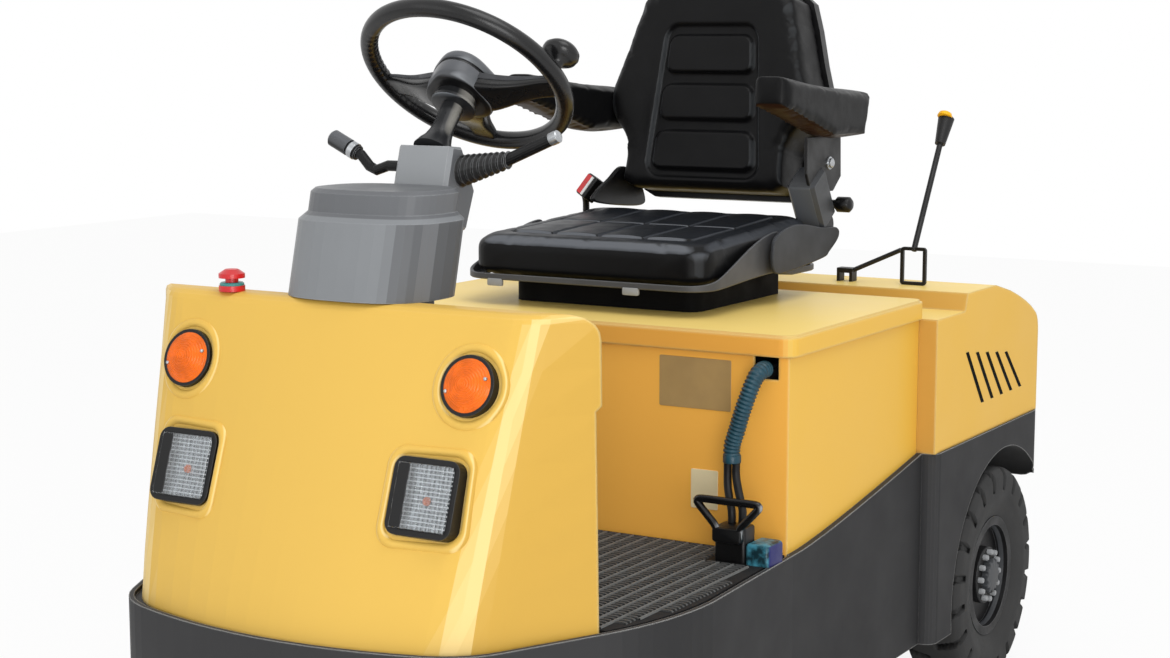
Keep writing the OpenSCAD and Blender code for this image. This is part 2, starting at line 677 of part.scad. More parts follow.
// Yellow rear body over the drive, open below, with slanted louvre slots and the lid's hinge posts
module rear_body() color(yellow) {
    difference() {
        side_extrude(-tail_x, tail_x) polygon(tail_side(0));
        side_extrude(-tail_x + tail_wall, tail_x - tail_wall) polygon(tail_side(tail_wall));
        block([-tail_x + tail_wall, shoulder_y + tail_wall, skirt_rear_z - overrun],
              [tail_x - tail_wall, tail_rear_y - tail_wall, skirt_rear_z + overrun]);
        for (i = [0:slot_count - 1]) let (y = slot_first_y + i * slot_pitch, z = slot_top_z - i * slot_drop)
            side_extrude(-2 * tail_x, 2 * tail_x) polygon([[y, z], [y + slot_w, z],
                [y + slot_w + slot_lean, slot_bottom_z], [y + slot_lean, slot_bottom_z]]);
    }
    for (s = [-1, 1]) translate([s * hinge_x, 0, 0]) {
        for (e = [-1, 1]) translate([e * (knuckle_l + post_l + 2 * knuckle_gap) / 2, 0, 0]) {
            block([-post_l / 2, hinge_y - hinge_r, box_rim_z], [post_l / 2, hinge_y + hinge_r, hinge_z]);
            translate([0, hinge_y, hinge_z]) across(-post_l / 2, post_l / 2, hinge_r);
        }
        translate([0, hinge_y, hinge_z]) across(-knuckle_l / 2 - post_l, knuckle_l / 2 + post_l, hinge_pin_r);
    }
}

lid_sheet = 8;
lid_rim_w = 44;
lid_edge = 4;
lid_front_y = box_front_y - lid_overhang;
lid_x = box_x + lid_overhang;
// Flanged lid over the battery, hollow below, hinged along its rear edge
module lid() color(yellow) difference() {
    union() {
        translate([0, (lid_front_y + lid_rear_y) / 2, box_rim_z + seat_gap]) difference() {
            union() {
                linear_extrude(lid_h - lid_edge - seat_gap)
                    polygon(rounded(2 * lid_x, lid_rear_y - lid_front_y, lid_corner_r));
                translate([0, 0, lid_h - lid_edge - seat_gap]) linear_extrude(lid_edge)
                    polygon(rounded(2 * (lid_x - lid_edge), lid_rear_y - lid_front_y - 2 * lid_edge, lid_corner_r));
            }
            translate([0, 0, -overrun]) linear_extrude(lid_h - lid_sheet + overrun)
                polygon(rounded(2 * (lid_x - lid_rim_w), lid_rear_y - lid_front_y - 2 * lid_rim_w, lid_corner_r));
        }
        for (s = [-1, 1]) translate([s * hinge_x, hinge_y, hinge_z]) {
            across(-knuckle_l / 2, knuckle_l / 2, hinge_r);
            block([-knuckle_l / 2, lid_rear_y - lid_edge - hinge_y, -hinge_pin_r], [knuckle_l / 2, 0, hinge_pin_r]);
        }
    }
    translate([0, hinge_y, hinge_z]) across(-lid_x, lid_x, hinge_pin_r + running_fit);
}

seat_front_y = box_front_y + seat_setback;
seat_rail_x = 140;
seat_rail_w = 38;
rail_foot_w = 60;
rail_foot_h = 6;
rail_nose = 8;
pan_z = lid_top_z + seat_rail_h;
pan_inset = 2;
pan_top_z = pan_z + seat_pan_h;
cushion_z = pan_top_z + seat_gap;
cushion_top_z = cushion_z + cushion_h;
pan_l = seat_length - 2 * pan_inset;
pan_rear_y = seat_front_y + pan_inset + pan_l;
// Light grey slide rails between the lid and the seat pan
module seat_base() color(steel) for (s = [-1, 1]) translate([s * seat_rail_x, 0, lid_top_z]) {
    block([-rail_foot_w / 2, seat_front_y - rail_nose, 0], [rail_foot_w / 2, seat_front_y + pan_l, rail_foot_h]);
    block([-seat_rail_w / 2, seat_front_y - rail_nose, rail_foot_h],
          [seat_rail_w / 2, seat_front_y + pan_l, seat_rail_h]);
}

pan_corner_r = 14;
module seat_pan() color(black) translate([0, seat_front_y + pan_inset + pan_l / 2, pan_z])
    linear_extrude(seat_pan_h) polygon(rounded(seat_w - 2 * pan_inset, pan_l, pan_corner_r));

soft_r = 22;
soft_corner = 12;
soft_steps = 4;
// A padded block centred over its lower face, its corners in plan a little rounder than its edges
module pad(size, r) {
    turns = [for (i = [0:soft_steps]) i * 90 / soft_steps];
    function ring(a) = let (d = r * (1 - sin(a))) rounded(size[0] - 2 * d, size[1] - 2 * d, r + soft_corner - d);
    loft(concat([for (a = turns) ring(a)], [for (a = reversed(turns)) ring(a)]),
         concat([for (a = turns) r * (1 - cos(a))], [for (a = reversed(turns)) size[2] - r * (1 - cos(a))]));
}
module seat_cushion() color(black) translate([0, seat_front_y + seat_length / 2, cushion_z])
    pad([seat_w, seat_length, cushion_h], soft_r);

back_y = seat_front_y + seat_length + soft_r / 2;
back_gap = 64;
back_z = cushion_top_z + back_gap;
back_pad_h = 70;
shell_h = 24;
// Half outline of the backrest from its foot to its top: shares of its height and of its half width
back_shares = [[0, 0.6], [0.03, 0.7], [0.2, 0.7], [0.26, 0.8], [0.32, 0.93], [0.38, 0.99], [0.43, 1], [0.49, 0.98],
               [0.62, 0.9], [0.78, 0.79], [0.9, 0.67], [0.97, 0.53], [1, 0.36]];
side_share = back_shares[1][1];
wide_share = back_shares[6][0];
// Outline of the backrest about its middle, drawn in by d
function back_outline(d) =
    let (half = [for (p = back_shares) [p[1] * (back_w / 2 - d), (p[0] - 1 / 2) * (back_h - 2 * d)]])
    concat(half, reversed(mirrored(half)));
// Frame of the backrest: origin at the middle of its lower front edge, Z up along it
module at_back() translate([0, back_y, back_z]) rotate([-back_recline, 0, 0]) children();
// Moulded shell behind the back cushion
module back_shell() color(black) at_back() translate([0, back_pad_h + shell_h, back_h / 2]) rotate([90, 0, 0])
    linear_extrude(shell_h - seat_gap) polygon(back_outline(0));
// Soft backrest, waisted at its foot and broad at the shoulders
module back_cushion() color(black) at_back() translate([0, back_pad_h, back_h / 2]) rotate([90, 0, 0]) {
    turns = [for (i = [0:soft_steps]) i * 90 / soft_steps];
    loft(concat([back_outline(0)], [for (a = turns) back_outline(soft_r * (1 - cos(a)))]),
         concat([0], [for (a = turns) back_pad_h - soft_r + soft_r * sin(a)]));
}

bracket_t = 6;
bracket_gap = 2;
bracket_x = max(seat_w / 2, (back_w + armrest_w) / 2 - 2 * bracket_t) + bracket_gap;
shield_h = 86;
shield_l = 300;
shield_back = 40;
foot_l = 140;
foot_h = 16;
shield_y = back_y - bracket_t;
shell_side_x = side_share * back_w / 2;
pivot_h = 45;
pivot_r = 10;
recliner_t = 8;
recliner_x = shell_side_x + bracket_gap;
recliner_out_x = recliner_x + recliner_t;
recliner_foot = 60;
recliner_l = 135;
recliner_w = 60;
recliner_rise = 130;
recliner_h = 200;
gear_setback = 52;
gear_z = pan_z + shield_h + shell_h / 2;
gear_size = [48, 48, 88];
gear_knob_l = 70;
arm_rise = 131;
arm_z = back_z + arm_rise;
arm_setback = 80;
arm_y = back_y + arm_setback;
arm_x = bracket_x + bracket_t / 2 - armrest_w / 3;
arm_pin_h = wide_share * back_h;
arm_pin_r = 8;
hinge_plate_x = arm_x + bracket_t;
hinge_plate_t = 12;
hinge_plate_l = 60;
hinge_plate_back = 47;
hinge_plate_w = 32;
hinge_plate_rise = 29;
hinge_plate_h = 65;
// Low shields beside the seat
module seat_shield() {
    side_extrude(bracket_x, bracket_x + bracket_t) polygon([
        [shield_y - shield_l, pan_z + foot_h], [shield_y, pan_z], [shield_y + shield_back, pan_z + foot_h],
        [shield_y + shield_back, pan_z + shield_h], [shield_y - shield_l / 2, pan_z + shield_h],
        [shield_y - shield_l, pan_z + 2 * foot_h]]);
    block([seat_w / 2 - pan_inset, shield_y - shield_l / 2, pan_z],
          [bracket_x, shield_y - shield_l / 2 + foot_l, pan_z + foot_h]);
}
// Recliner plate from the rear of the pan to the shell's side, with its gear box and knob
module recliner() {
    side_extrude(recliner_x, recliner_out_x) translate([pan_rear_y, pan_z]) polygon([
        [0, 0], [recliner_foot, 0], [recliner_l, recliner_rise], [recliner_l, recliner_h],
        [recliner_l - recliner_w, recliner_h], [2 * pan_inset, cushion_top_z - pan_z],
        [2 * pan_inset, seat_pan_h], [0, seat_pan_h]]);
    at_back() translate([0, back_pad_h + shell_h / 2, pivot_h])
        across(shell_side_x, recliner_out_x, pivot_r);
    translate([recliner_out_x, pan_rear_y + gear_setback, gear_z]) {
        cube(gear_size);
        translate([0, gear_size[1] + pivot_r, pivot_r]) across(0, gear_knob_l, pivot_r);
    }
}
// Plate that carries an armrest's rear end from a pin in the shell's broadest part
module arm_hinge() {
    at_back() translate([0, back_pad_h + shell_h / 2, arm_pin_h])
        across(back_w / 2, hinge_plate_x + hinge_plate_t, arm_pin_r);
    side_extrude(hinge_plate_x, hinge_plate_x + hinge_plate_t) translate([arm_y, arm_z]) polygon([
        [-hinge_plate_l, -hinge_plate_t], [-hinge_plate_t, -hinge_plate_t], [hinge_plate_back, hinge_plate_rise],
        [hinge_plate_back, hinge_plate_h], [hinge_plate_back - hinge_plate_w, hinge_plate_h],
        [hinge_plate_back - hinge_plate_w, hinge_plate_rise], [arm_shares[0][0] * armrest_length, 0],
        [-hinge_plate_l, 0]]);
    block([hinge_plate_x, arm_y - hinge_plate_l, arm_z - hinge_plate_t],
          [arm_x + armrest_w - bracket_t, arm_y - hinge_plate_l / 2, arm_z]);
}
module armrest_brackets() color(dark_grey) for (s = [-1, 1]) scale([s, 1, 1]) {
    seat_shield();
    recliner();
    arm_hinge();
}

arm_r = 9;
// Side view of an armrest, as shares of its length and height from the foot of its rear end
arm_shares = [[-0.05, 0], [0, 0.7], [-1, 1], [-1.01, 0.56], [-0.42, 0]];
// Outline of an armrest, drawn in by d towards its middle
function arm_outline(d) = [for (p = arm_shares) [
    p[0] * armrest_length + d * (p[0] < -1 / 2 ? 1 : -1), p[1] * armrest_h + d * (p[1] < 1 / 2 ? 0 : -1)]];
// Chunky wedge-shaped armrests on their struts
module armrests() color(black) for (s = [-1, 1]) scale([s, 1, 1]) translate([arm_x, arm_y, arm_z])
    rotate([90, 0, 90]) loft([arm_outline(arm_r), arm_outline(0), arm_outline(0), arm_outline(arm_r)],
                             [0, arm_r, armrest_w - arm_r, armrest_w]);

buckle_size = [24, 44, 62];
buckle_stalk_t = 5;
buckle_stalk_h = 112;
buckle_setback = 36;
buckle_y = pan_rear_y - buckle_setback;
buckle_x = -bracket_x - bracket_t;
// Belt buckle on a strap from the right shield
module belt_buckle() translate([buckle_x, buckle_y, pan_z]) {
    color(black) block([-buckle_stalk_t, 0, 2 * foot_h], [0, buckle_size[1] / 2, buckle_stalk_h]);
    color("#c8202c") block([-buckle_size[0], -buckle_size[1] / 4, buckle_stalk_h],
                           [0, buckle_size[1] * 3 / 4, buckle_stalk_h + buckle_size[2]]);
}

hitch_w = 160;
hitch_z = 250;
hitch_h = 180;
hitch_plate = 16;
jaw_w = 88;
jaw_t = 20;
jaw_gap = 46;
hitch_pin_r = 14;
hitch_bore_r = 14.5;
jaw_mid_z = hitch_z + hitch_h / 2;
pin_y = tail_y + hitch_length - jaw_w / 2;
// Tow jaw bolted to the rear skirt, with a bored eye above and below the throat
module tow_hitch() color(dark_grey) difference() {
    union() {
        block([-hitch_w / 2, tail_y, hitch_z], [hitch_w / 2, tail_y + hitch_plate, hitch_z + hitch_h]);
        for (s = [-1, 1]) translate([0, 0, jaw_mid_z + s * (jaw_gap + jaw_t) / 2 - jaw_t / 2]) {
            block([-jaw_w / 2, tail_y, 0], [jaw_w / 2, pin_y, jaw_t]);
            translate([0, pin_y, 0]) cylinder(h = jaw_t, d = jaw_w);
        }
    }
    translate([0, pin_y, hitch_z - hitch_h]) cylinder(h = 3 * hitch_h, r = hitch_bore_r);
}

pin_over = 24;
pin_head_r = 20;
pin_head_h = 14;
// Drop pin through the tow jaw
module hitch_pin() color(steel) translate([0, pin_y, 0]) {
    pin_lo = jaw_mid_z - jaw_gap / 2 - jaw_t - pin_over;
    pin_hi = jaw_mid_z + jaw_gap / 2 + jaw_t;
    translate([0, 0, pin_lo]) cylinder(h = pin_hi - pin_lo, r = hitch_pin_r);
    translate([0, 0, pin_hi]) cylinder(h = pin_head_h, r = pin_head_r);
}

lever_x = 348;
lever_setback = 75;
lever_y = riser_y + riser_run + lever_setback;
release_w = 56;
release_h = 78;
release_t = 7;
release_rod_r = 6;
release_rod_l = 250;
release_lean = 32;
grip_l = 62;
grip_r = 11;
grip_top_r = 17;
link_r = 5;
fork_x = 186;
fork_l = 24;
fork_w = 28;
fork_stand = 28;
// Hitch release: a loop bracket on the deck, a leaning lever with a flared grip, and a link to a fork
module release_lever() translate([lever_x, lever_y, deck_z]) {
    color(black) {
        translate([0, release_t / 2, 0]) rotate([90, 0, 0]) linear_extrude(release_t) difference() {
            translate([0, release_h / 2]) polygon(rounded(release_w, release_h, release_t));
            translate([0, release_h / 2])
                square([release_w - 2 * release_t, release_h - 2 * release_t], center = true);
        }
        tube([[-release_w / 2, 0, release_h - release_t], [fork_x + fork_w - lever_x, 0, fork_stand - link_r]],
             link_r, cord_sides);
        for (x = [0, fork_w]) translate([fork_x - lever_x + x, 0, 0])
            block([-release_t / 2, -fork_l / 2, 0], [release_t / 2, fork_l / 2, fork_stand]);
        block([fork_x - lever_x, -fork_l / 2, fork_stand - 2 * link_r],
              [fork_x - lever_x + fork_w, fork_l / 2, fork_stand]);
    }
    translate([0, 0, release_h - release_t]) rotate([-release_lean, 0, 0]) {
        color(black) cylinder(h = release_rod_l, r = release_rod_r);
        color(black) translate([0, 0, release_rod_l]) cylinder(h = grip_l, r1 = grip_r, r2 = grip_top_r);
        color(yellow) translate([0, 0, release_rod_l + grip_l])
            cylinder(h = grip_r / 2, r1 = grip_top_r, r2 = grip_r);
    }
}

lamp_w = 90;
lamp_h = 60;
lamp_t = 16;
tail_lamp_x = 360;
tail_lamp_rise = 90;
tail_lamp_z = skirt_rear_z + tail_lamp_rise;
// Rear lamps on the upright rear face
module rear_lamps() color("#b02028") for (s = [-1, 1])
    translate([s * tail_lamp_x, tail_rear_y, tail_lamp_z]) rotate([-90, 0, 0])
        linear_extrude(lamp_t) polygon(rounded(lamp_w, lamp_h, lamp_corner_r));

pedal_w = 70;
pedal_l = 100;
pedal_t = 10;
pedal_tilt = 50;
pedal_setback = 46;
pedal_y = cowl_rear_y + pedal_setback;
pedal_xs = [-230, -130];
pedal_foot = 16;
// Accelerator and brake pedals standing on the floor
module pedals() color(black) for (x = pedal_xs) translate([x, pedal_y, mat_top_z]) {
    block([-pedal_foot / 2, -pedal_foot, 0], [pedal_foot / 2, pedal_foot, pedal_l / 2]);
    translate([0, 0, pedal_l / 2]) rotate([pedal_tilt, 0, 0])
        block([-pedal_w / 2, -pedal_l / 2, 0], [pedal_w / 2, pedal_l / 2, pedal_t]);
}

connector_setback = 80;
connector_y = box_front_y - connector_setback;
connector_size = [58, 42, 62];
handle_t = 14;
handle_rise = 52;
handle_bar = 14;
handle_ease = 20;
handle_ease_in = 10;
mate_size = [42, 56, 34];
mate_setback = 3;
// Battery connector on the floor, with its wide rounded pull handle and the plug beside it
module connector() color(black) translate([connector_x, connector_y, mat_top_z]) {
    half = connector_size / 2;
    block([-half[0], -half[1], 0], [half[0], half[1], connector_size[2]]);
    translate([0, -half[1], connector_size[2]]) rotate([90, 0, 0]) linear_extrude(handle_t) difference() {
        polygon(eased([[-half[0], -handle_rise / 2], [half[0], -handle_rise / 2],
                       [connector_handle_w / 2, handle_rise], [-connector_handle_w / 2, handle_rise]],
                      handle_ease));
        polygon(eased([[-half[0] + handle_bar, 0], [half[0] - handle_bar, 0],
                       [connector_handle_w / 2 - 2 * handle_bar, handle_rise - handle_bar],
                       [2 * handle_bar - connector_handle_w / 2, handle_rise - handle_bar]], handle_ease_in));
    }
    translate([half[0], mate_setback - half[1], 0]) cube(mate_size);
}

// Round tube swept through hand-placed points
module tube(path, r, sides) {
    n = len(path);
    function dir(i) = unit(path[min(i + 1, n - 1)] - path[max(i - 1, 0)]);
    function rim(i) = let (t = dir(i), u = unit(cross(t, [1, 0, 0])), v = cross(t, u))
        [for (j = [0:sides - 1]) path[i] + r * (cos(360 * j / sides) * u + sin(360 * j / sides) * v)];
    polyhedron(
        points = [for (i = [0:n - 1]) each rim(i)],
        faces = concat([[for (j = [0:sides - 1]) j]],
            [for (i = [0:n - 2]) for (j = [0:sides - 1]) let (k = (j + 1) % sides)
                each [[i * sides + j, (i + 1) * sides + j, (i + 1) * sides + k],
                      [i * sides + j, (i + 1) * sides + k, i * sides + k]]],
            [[for (j = [sides - 1:-1:0]) (n - 1) * sides + j]]));
}

conduit_r = 15;
cable_r = 7;
cord_sides = 10;
notch_drop = 22;
// Points of the lead, measured from the notch in the box's front wall at the rim: across, along and up
conduit_points = [[-1, -2, 0], [-1, -18, -1], [-3, -32, -8], [-7, -42, -24], [-13, -48, -46], [-21, -51, -72],
                  [-29, -52, -100], [-38, -52, -130], [-38, -52, -158]];
cable_points = [
    [[-46, -52, -158], [-46, -52, -178], [-43, -57, -198], [-36, -64, -218], [-29, -70, -234], [-27, -72, -246]],
    [[-30, -52, -158], [-30, -52, -178], [-24, -57, -198], [-15, -64, -218], [-8, -70, -234], [-7, -72, -246]]];
lead_start = [notch_x, box_front_y, box_rim_z - notch_drop];
lead_end_z = mat_top_z + connector_size[2] + seat_gap;
conduit_path = [for (p = conduit_points) lead_start + p];
cable_paths = [for (c = cable_points) concat([for (p = c) lead_start + p],
    [[lead_start[0] + c[len(c) - 1][0], lead_start[1] + c[len(c) - 1][1], lead_end_z]])];
// Corrugated conduit from the notch down to where the two cables leave it
module lead_conduit() color("#23504f") tube(conduit_path, conduit_r, cord_sides);
module lead_cables() color(black) for (p = cable_paths) translate([0, 0, -seat_gap]) tube(p, cable_r, cord_sides);

beam_w = 60;
boss_r = 28;
boss_h = 90;
kingpin_r = 14;
// Front axle beam under the rails, with an upright bored boss at each end
module front_axle() color(black) translate([0, front_axle_y, front_tyre_r]) difference() {
    union() {
        block([-kingpin_x, -beam_w / 2, -beam_w / 2], [kingpin_x, beam_w / 2, beam_w / 2]);
        for (s = [-1, 1]) {
            block([s * rail_x - rail_w / 2, -beam_w / 2, 0],
                  [s * rail_x + rail_w / 2, beam_w / 2, rail_z - front_tyre_r]);
            translate([s * kingpin_x, 0, -boss_h / 2]) cylinder(h = boss_h, r = boss_r);
        }
    }
    for (s = [-1, 1]) {
        translate([s * kingpin_x, 0, -boss_h]) cylinder(h = 2 * boss_h, r = kingpin_r + running_fit);
        scale([s, 1, 1]) block([kingpin_x, -beam_w, -boss_h], [kingpin_x + beam_w, beam_w, boss_h]);
    }
}

axle_tube_r = 45;
diff_r = 105;
diff_w = 150;
motor_r = 100;
motor_l = 260;
hub_shaft_r = 20;
drum_r = 78;
drum_w = 24;
shaft_reach = 36;
// Rear drive axle with its gear housing, motor and half shafts, seated under the rails
module rear_axle() color(black) translate([0, rear_axle_y, rear_tyre_r]) {
    across(-house_x, house_x, axle_tube_r);
    rotate([0, 90, 0]) rotate_extrude() polygon([[0, -diff_w / 2], [diff_r / 2, -diff_w / 2], [diff_r, -diff_w / 6],
        [diff_r, diff_w / 6], [diff_r / 2, diff_w / 2], [0, diff_w / 2]]);
    rotate([90, 0, 0]) cylinder(h = motor_l, r = motor_r / 2);
    for (s = [-1, 1]) {
        block([s * rail_x - rail_w / 2, -axle_tube_r, 0], [s * rail_x + rail_w / 2, axle_tube_r, axle_rise_h]);
        scale([s, 1, 1]) {
            across(house_x, house_x + drum_w, drum_r);
            across(house_x, rear_track_x + shaft_reach, hub_shaft_r);
        }
    }
}

wheel_boss_r = 32;
spinner_angle = -4;
spinner_r = 27;
spinner_h = 32;
spinner_stem = 6;
spinner_stem_r = 9;
// Side view of the spinner knob, as shares of its radius and height
spinner_shares = [[0, 0], [0.5, 0], [0.9, 0.3], [1, 0.55], [0.9, 0.85], [0.6, 1], [0, 1]];
spoke_angles = [8, 105, 172];
spoke_ws = [66, 44, 54];
spoke_t = 20;
rim_mid_r = (steering_d - steering_rim_d) / 2;
// Steering wheel with three spokes, its boss, the shaft that runs in the neck and a spinner knob
module steering_wheel() color(black) at_steering() {
    rotate_extrude($fn = 72) translate([rim_mid_r, 0]) circle(d = steering_rim_d, $fn = 24);
    translate([0, 0, -spoke_t]) linear_extrude(spoke_t) for (i = [0:len(spoke_ws) - 1])
        rotate(spoke_angles[i]) polygon([[0, -spoke_ws[i] / 2], [rim_mid_r, -spoke_ws[i] / 3],
                 [rim_mid_r, spoke_ws[i] / 3], [0, spoke_ws[i] / 2]]);
    translate([0, 0, neck_top + wheel_gap]) cylinder(h = -neck_top - wheel_gap, r = wheel_boss_r);
    translate([0, 0, column_top]) cylinder(h = -column_top, r = shaft_r);
    rotate([0, 0, spinner_angle]) translate([rim_mid_r, 0, 0]) {
        cylinder(h = steering_rim_d / 2 + spinner_stem, r = spinner_stem_r);
        translate([0, 0, steering_rim_d / 2 + spinner_stem]) rotate_extrude()
            polygon([for (p = spinner_shares) [p[0] * spinner_r, p[1] * spinner_h]]);
    }
}

cap_r = 58;
cap_h = 28;
cap_base = 8;
cap_in = 40;
cap_turn = 48;
cap_steps = 36;
cap_lobes = 3;
cap_lobe_share = 0.1;
// Outline of the cap, a circle drawn out at three corners, moved in by d
function cap_ring(d) = [for (i = [0:cap_steps - 1]) let (a = 360 * i / cap_steps)
    (cap_r * (1 + cap_lobe_share * cos(cap_lobes * (a - cap_turn))) - d) * [cos(a), sin(a)]];
// Domed cap with three soft corners over the hub
module steering_cap() color(dark_grey) at_steering() {
    turns = [for (i = [0:corner_steps]) i * 90 / corner_steps];
    loft(concat([cap_ring(0)], [for (a = turns) cap_ring(cap_in * (1 - cos(a)))]),
         concat([0], [for (a = turns) cap_base + (cap_h - cap_base) * sin(a)]));
}

fork_t = 16;
fork_gap = 3;
web_t = 14;
web_w = 64;
stub_r = 18;
stub_reach = 28;
web_x = boss_r + fork_gap;
fork_h = boss_h / 2 + fork_gap + fork_t;
// Steering knuckle: a fork round the axle's boss, its kingpin and the stub that carries the wheel
module knuckle(s) color(dark_grey) translate([s * kingpin_x, front_axle_y, front_tyre_r]) scale([s, 1, 1]) {
    cylinder(h = 2 * fork_h, r = kingpin_r, center = true);
    for (e = [0, 1]) mirror([0, 0, e]) translate([0, 0, fork_h - fork_t]) {
        cylinder(h = fork_t, r = boss_r);
        block([0, -boss_r, 0], [web_x + web_t, boss_r, fork_t]);
    }
    block([web_x, -web_w / 2, -fork_h], [web_x + web_t, web_w / 2, fork_h]);
    across(web_x, kingpin_offset + stub_reach, stub_r);
}
module knuckle_left() knuckle(1);
module knuckle_right() knuckle(-1);

rim_share = 0.5;
flange_h = 10;
barrel_t = 8;
flange_t = 6;
bead_share = 0.8;
disc_share = 0.12;
disc_t = 10;
hub_r = 40;
hub_in = 14;
hub_out = 34;
function rim_r(r) = r * rim_share;
// Steel wheel turned about X: barrel with two flanges, a dished disc and a bored hub
module rim(r, w, shaft) color(mid_grey) rotate([0, 90, 0]) {
    b = w * bead_share / 2;
    rb = rim_r(r);
    d = w * disc_share;
    rotate_extrude() polygon([
        [rb - barrel_t, -b], [rb + flange_h, -b], [rb + flange_h, flange_t - b], [rb, flange_t - b],
        [rb, b - flange_t], [rb + flange_h, b - flange_t], [rb + flange_h, b], [rb - barrel_t, b]]);
    rotate_extrude() polygon([[shaft + running_fit, -hub_in], [hub_r, -hub_in], [hub_r, d], [rb - barrel_t, d],
        [rb - barrel_t, d + disc_t], [hub_r, d + disc_t], [hub_r, hub_out], [shaft + running_fit, hub_out]]);
}

groove_share = 0.36;
groove_depth = 15;
groove_start_share = 0.16;
shoulder_drop = 10;
tread_share = 0.78;
belly_share = 0.55;
// Tyre turned about X, with grooves that leave lugs standing on both shoulders
module tyre(r, w) color(black) rotate([0, 90, 0]) difference() {
    b = w * bead_share / 2 - flange_t - seat_gap;
    rb = rim_r(r) + seat_gap;
    rf = rb + flange_h;
    rotate_extrude() polygon(concat(
        [[rb, -b], [rf, -b], [mix(rf, r, belly_share), -w / 2], [r - shoulder_drop, -w / 2],
         [r, -w * tread_share / 2]],
        [[r, w * tread_share / 2], [r - shoulder_drop, w / 2], [mix(rf, r, belly_share), w / 2], [rf, b], [rb, b]]));
    pitch = 360 / lug_count;
    groove = 2 * PI * r / lug_count * groove_share;
    for (i = [0:lug_count - 1], s = [0, 1]) rotate([0, 0, pitch * (i + s / 2)]) mirror([0, 0, s])
        block([r - groove_depth, -groove / 2, w * groove_start_share], [r + groove_depth, groove / 2, w]);
}

module on_front(s) translate([s * front_track_x, front_axle_y, front_tyre_r]) scale([s, 1, 1]) children();
module on_rear(s) translate([s * rear_track_x, rear_axle_y, rear_tyre_r]) scale([s, 1, 1]) children();
module front_left_rim() on_front(1) rim(front_tyre_r, front_tyre_w, stub_r);
module front_left_tyre() on_front(1) tyre(front_tyre_r, front_tyre_w);
module front_right_rim() on_front(-1) rim(front_tyre_r, front_tyre_w, stub_r);
module front_right_tyre() on_front(-1) tyre(front_tyre_r, front_tyre_w);
module rear_left_rim() on_rear(1) rim(rear_tyre_r, rear_tyre_w, hub_shaft_r);
module rear_left_tyre() on_rear(1) tyre(rear_tyre_r, rear_tyre_w);
module rear_right_rim() on_rear(-1) rim(rear_tyre_r, rear_tyre_w, hub_shaft_r);
module rear_right_tyre() on_rear(-1) tyre(rear_tyre_r, rear_tyre_w);

chassis_frame();
floor_pan();
floor_mat();
front_skirt();
rear_skirt();
cowl();
dash_panel();
headlamp_frames();
headlamp_lenses();
indicator_rings();
indicator_lenses();
stop_button();
console();
steering_column();
control_levers();
battery_box();
battery();
rear_body();
tow_hitch();
hitch_pin();
release_lever();
rear_lamps();
pedals();
connector();
lead_conduit();
lead_cables();
front_axle();
rear_axle();
lid();
seat_base();
seat_pan();
seat_cushion();
back_shell();
back_cushion();
armrests();
armrest_brackets();
belt_buckle();
steering_wheel();
steering_cap();
knuckle_left();
knuckle_right();
front_left_rim();
front_left_tyre();
front_right_rim();
front_right_tyre();
rear_left_rim();
rear_left_tyre();
rear_right_rim();
rear_right_tyre();
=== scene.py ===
from functools import partial

import bmesh
import bpy
import numpy as np
from bpy.props import FloatProperty, FloatVectorProperty, IntProperty, PointerProperty
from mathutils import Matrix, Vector
from mathutils.bvhtree import BVHTree


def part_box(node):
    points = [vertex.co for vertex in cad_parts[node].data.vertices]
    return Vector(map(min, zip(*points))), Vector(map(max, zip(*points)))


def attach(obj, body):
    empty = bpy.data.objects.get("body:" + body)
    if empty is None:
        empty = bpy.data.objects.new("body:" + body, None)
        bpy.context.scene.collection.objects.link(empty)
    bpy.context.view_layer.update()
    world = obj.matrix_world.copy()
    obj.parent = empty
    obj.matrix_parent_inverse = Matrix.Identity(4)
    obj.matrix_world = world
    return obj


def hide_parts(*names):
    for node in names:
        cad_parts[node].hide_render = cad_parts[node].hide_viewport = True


bl_info = {
    "name": "Tow tractor dressing",
    "version": (1, 0, 0),
    "blender": (4, 5, 0),
    "location": "3D View > Sidebar > Tow tractor",
    "description": "Finishes, padded seat, tyres, battery lead and small fittings of a seated tow tractor",
    "category": "Object",
}

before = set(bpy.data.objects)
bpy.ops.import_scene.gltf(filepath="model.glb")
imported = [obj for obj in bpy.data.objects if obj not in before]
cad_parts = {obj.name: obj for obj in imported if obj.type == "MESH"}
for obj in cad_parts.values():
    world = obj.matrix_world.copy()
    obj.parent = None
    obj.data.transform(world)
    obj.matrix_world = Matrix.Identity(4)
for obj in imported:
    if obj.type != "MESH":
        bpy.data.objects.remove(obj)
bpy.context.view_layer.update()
made = {}

# Directions of the vehicle
LEFT, RIGHT = (1.0, 0.0, 0.0), (-1.0, 0.0, 0.0)
FRONT, REAR = (0.0, -1.0, 0.0), (0.0, 1.0, 0.0)
ABOVE, BELOW = (0.0, 0.0, 1.0), (0.0, 0.0, -1.0)
SIDES = (("left", 1), ("right", -1))


def linear(r, g, b):
    """Scene-linear colour of one given as display values from 0 to 255."""
    c = np.array([r, g, b]) / 255.0
    return tuple(np.where(c <= 0.04045, c / 12.92, ((c + 0.055) / 1.055) ** 2.4).tolist())


def colour_prop(name, description, rgb):
    """A colour that a user can change, given as display values."""
    return FloatVectorProperty(name=name, description=description, subtype="COLOR", size=3, min=0.0, max=1.0,
                               default=linear(*rgb))


def length_prop(name, description, metres):
    """A length that a user can change."""
    return FloatProperty(name=name, description=description, default=metres, min=0.0, subtype="DISTANCE",
                         unit="LENGTH")


